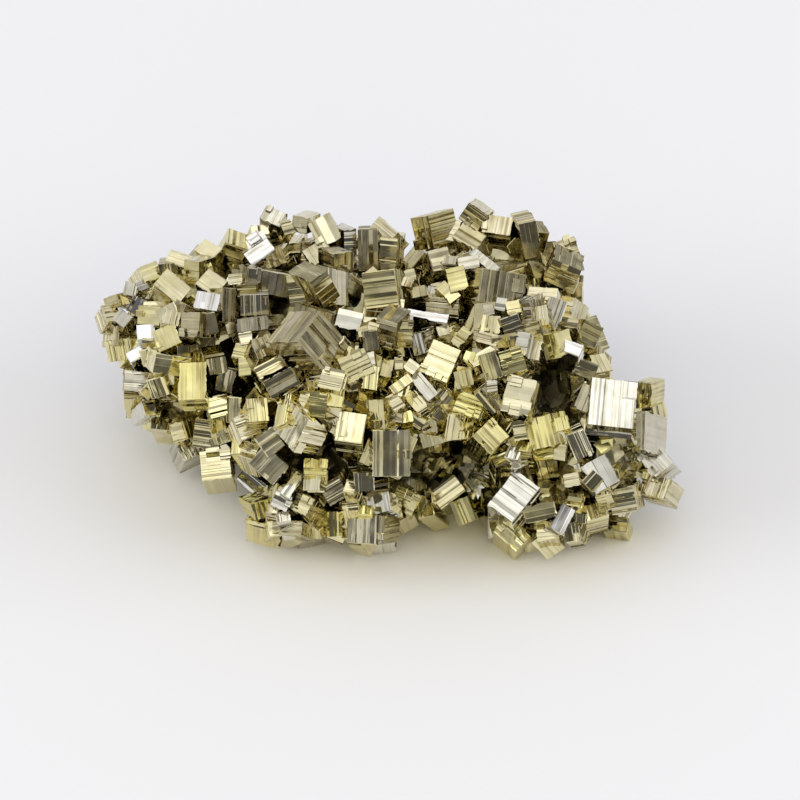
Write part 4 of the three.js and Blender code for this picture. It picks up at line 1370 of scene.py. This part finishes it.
def plain_floor():
    """A plain pale surface for the cluster to lie on."""
    s = FLOOR_SIZE
    points = [(-s, -s, 0), (s, -s, 0), (s, s, 0), (-s, s, 0)]
    mesh = bpy.data.meshes.new("floor")
    mesh.from_pydata(points, [], [[0, 1, 2, 3]])
    paint = bpy.data.materials.new("floor_white")
    paint.use_nodes = True
    shader = paint.node_tree.nodes["Principled BSDF"]
    shader.inputs["Base Color"].default_value = FLOOR_COLOUR
    shader.inputs["Roughness"].default_value = 0.9
    shader.inputs["Specular IOR Level"].default_value = 0.0
    mesh.materials.append(paint)
    linked("floor", mesh)


def lamp(name, size, power, place, colour):
    """A soft light that looks at the cluster's foot and isn't mirrored in the crystals."""
    data = bpy.data.lights.new(name, "AREA")
    data.shape, data.size, data.size_y = "RECTANGLE", size[0], size[1]
    data.energy, data.color = power, colour
    obj = linked(name, data)
    obj.location = place
    obj.visible_glossy = False
    obj.rotation_euler = (Vector() - Vector(place)).to_track_quat("-Z", "Y").to_euler()


def mirrored_room(tree):
    """How bright the surroundings are that the crystals mirror, and how far back each is."""
    generated = tree.nodes.new("ShaderNodeTexCoord").outputs["Generated"]
    x, y, z = separated(tree, generated)
    ahead = maths(tree, "MULTIPLY_ADD", x, 0.35, maths(tree, "MULTIPLY", y, -1.0))
    low = ramp(tree, z, 0.12, 0.55, 0.35, 1.0)
    behind = maths(tree, "MULTIPLY", ramp(tree, ahead, 0.15, -0.4, 0.12, 1.05), low)
    above = ramp(tree, z, 0.48, 0.9, 0.12, 1.03)
    top = ramp(tree, z, 0.92, 0.985, 0.0, 0.6)
    tent = maths(tree, "ADD", maths(tree, "MAXIMUM", behind, above), top)
    sides = maths(tree, "MAXIMUM", ramp(tree, x, -0.48, -0.64, 0.0, 0.8),
                  ramp(tree, x, 0.8, 0.9, 0.0, 0.7))
    sides = maths(tree, "MULTIPLY", sides, ramp(tree, z, 0.0, 0.12))
    front = ramp(tree, z, 0.26, 0.08, 0.0, 0.24)
    room = maths(tree, "MAXIMUM", maths(tree, "MAXIMUM", tent, front), sides)
    return room, ramp(tree, y, -0.7, 0.5)


def studio():
    """Even light on the floor; the crystals mirror a room that is darker round the viewer."""
    scene = bpy.context.scene
    scene.world = bpy.data.worlds.new("studio")
    scene.world.use_nodes = True
    tree = scene.world.node_tree
    background = tree.nodes["Background"]
    room, back = mirrored_room(tree)
    diffuse = tree.nodes.new("ShaderNodeLightPath").outputs["Is Diffuse Ray"]
    colour = mixed(tree, diffuse, (1.0, 1.0, 1.0, 1.0), mixed(tree, back, ROOM_WARM, ROOM_COLD))
    mirrored = maths(tree, "MULTIPLY", room, maths(tree, "SUBTRACT", 1.0, diffuse))
    strength = maths(tree, "ADD", mirrored, maths(tree, "MULTIPLY", diffuse, DOME))
    wire(tree, (colour, background.inputs["Color"]), (strength, background.inputs["Strength"]))
    scene.view_settings.view_transform = "Standard"
    lamp("back_panel", (0.9, 0.9), 0.5, (0.0, 0.45, 0.75), LAMP_COOL)
    lamp("left_panel", (0.6, 0.4), 3.3, (-0.7, -0.1, 0.23), LAMP_COOL)
    lamp("right_panel", (0.6, 0.4), 3.1, (0.7, -0.1, 0.23), LAMP_COOL)
    lamp("front_panel", (0.8, 0.8), 0.7, (0.1, -0.8, 0.4), LAMP_WARM)


def camera():
    """The camera looks at the photograph's angle, with the cluster where it has it."""
    data = bpy.data.cameras.new("camera")
    distance, width = 0.6, 0.080
    data.lens = data.sensor_width * distance / width
    obj = linked("camera", data)
    target = spot(1.3, -2.3) * MM
    turn = Matrix(VIEW).transposed().to_4x4()
    obj.matrix_world = Matrix.Translation(target + NEAR * distance) @ turn
    bpy.context.scene.camera = obj


plain_floor()
studio()
camera()
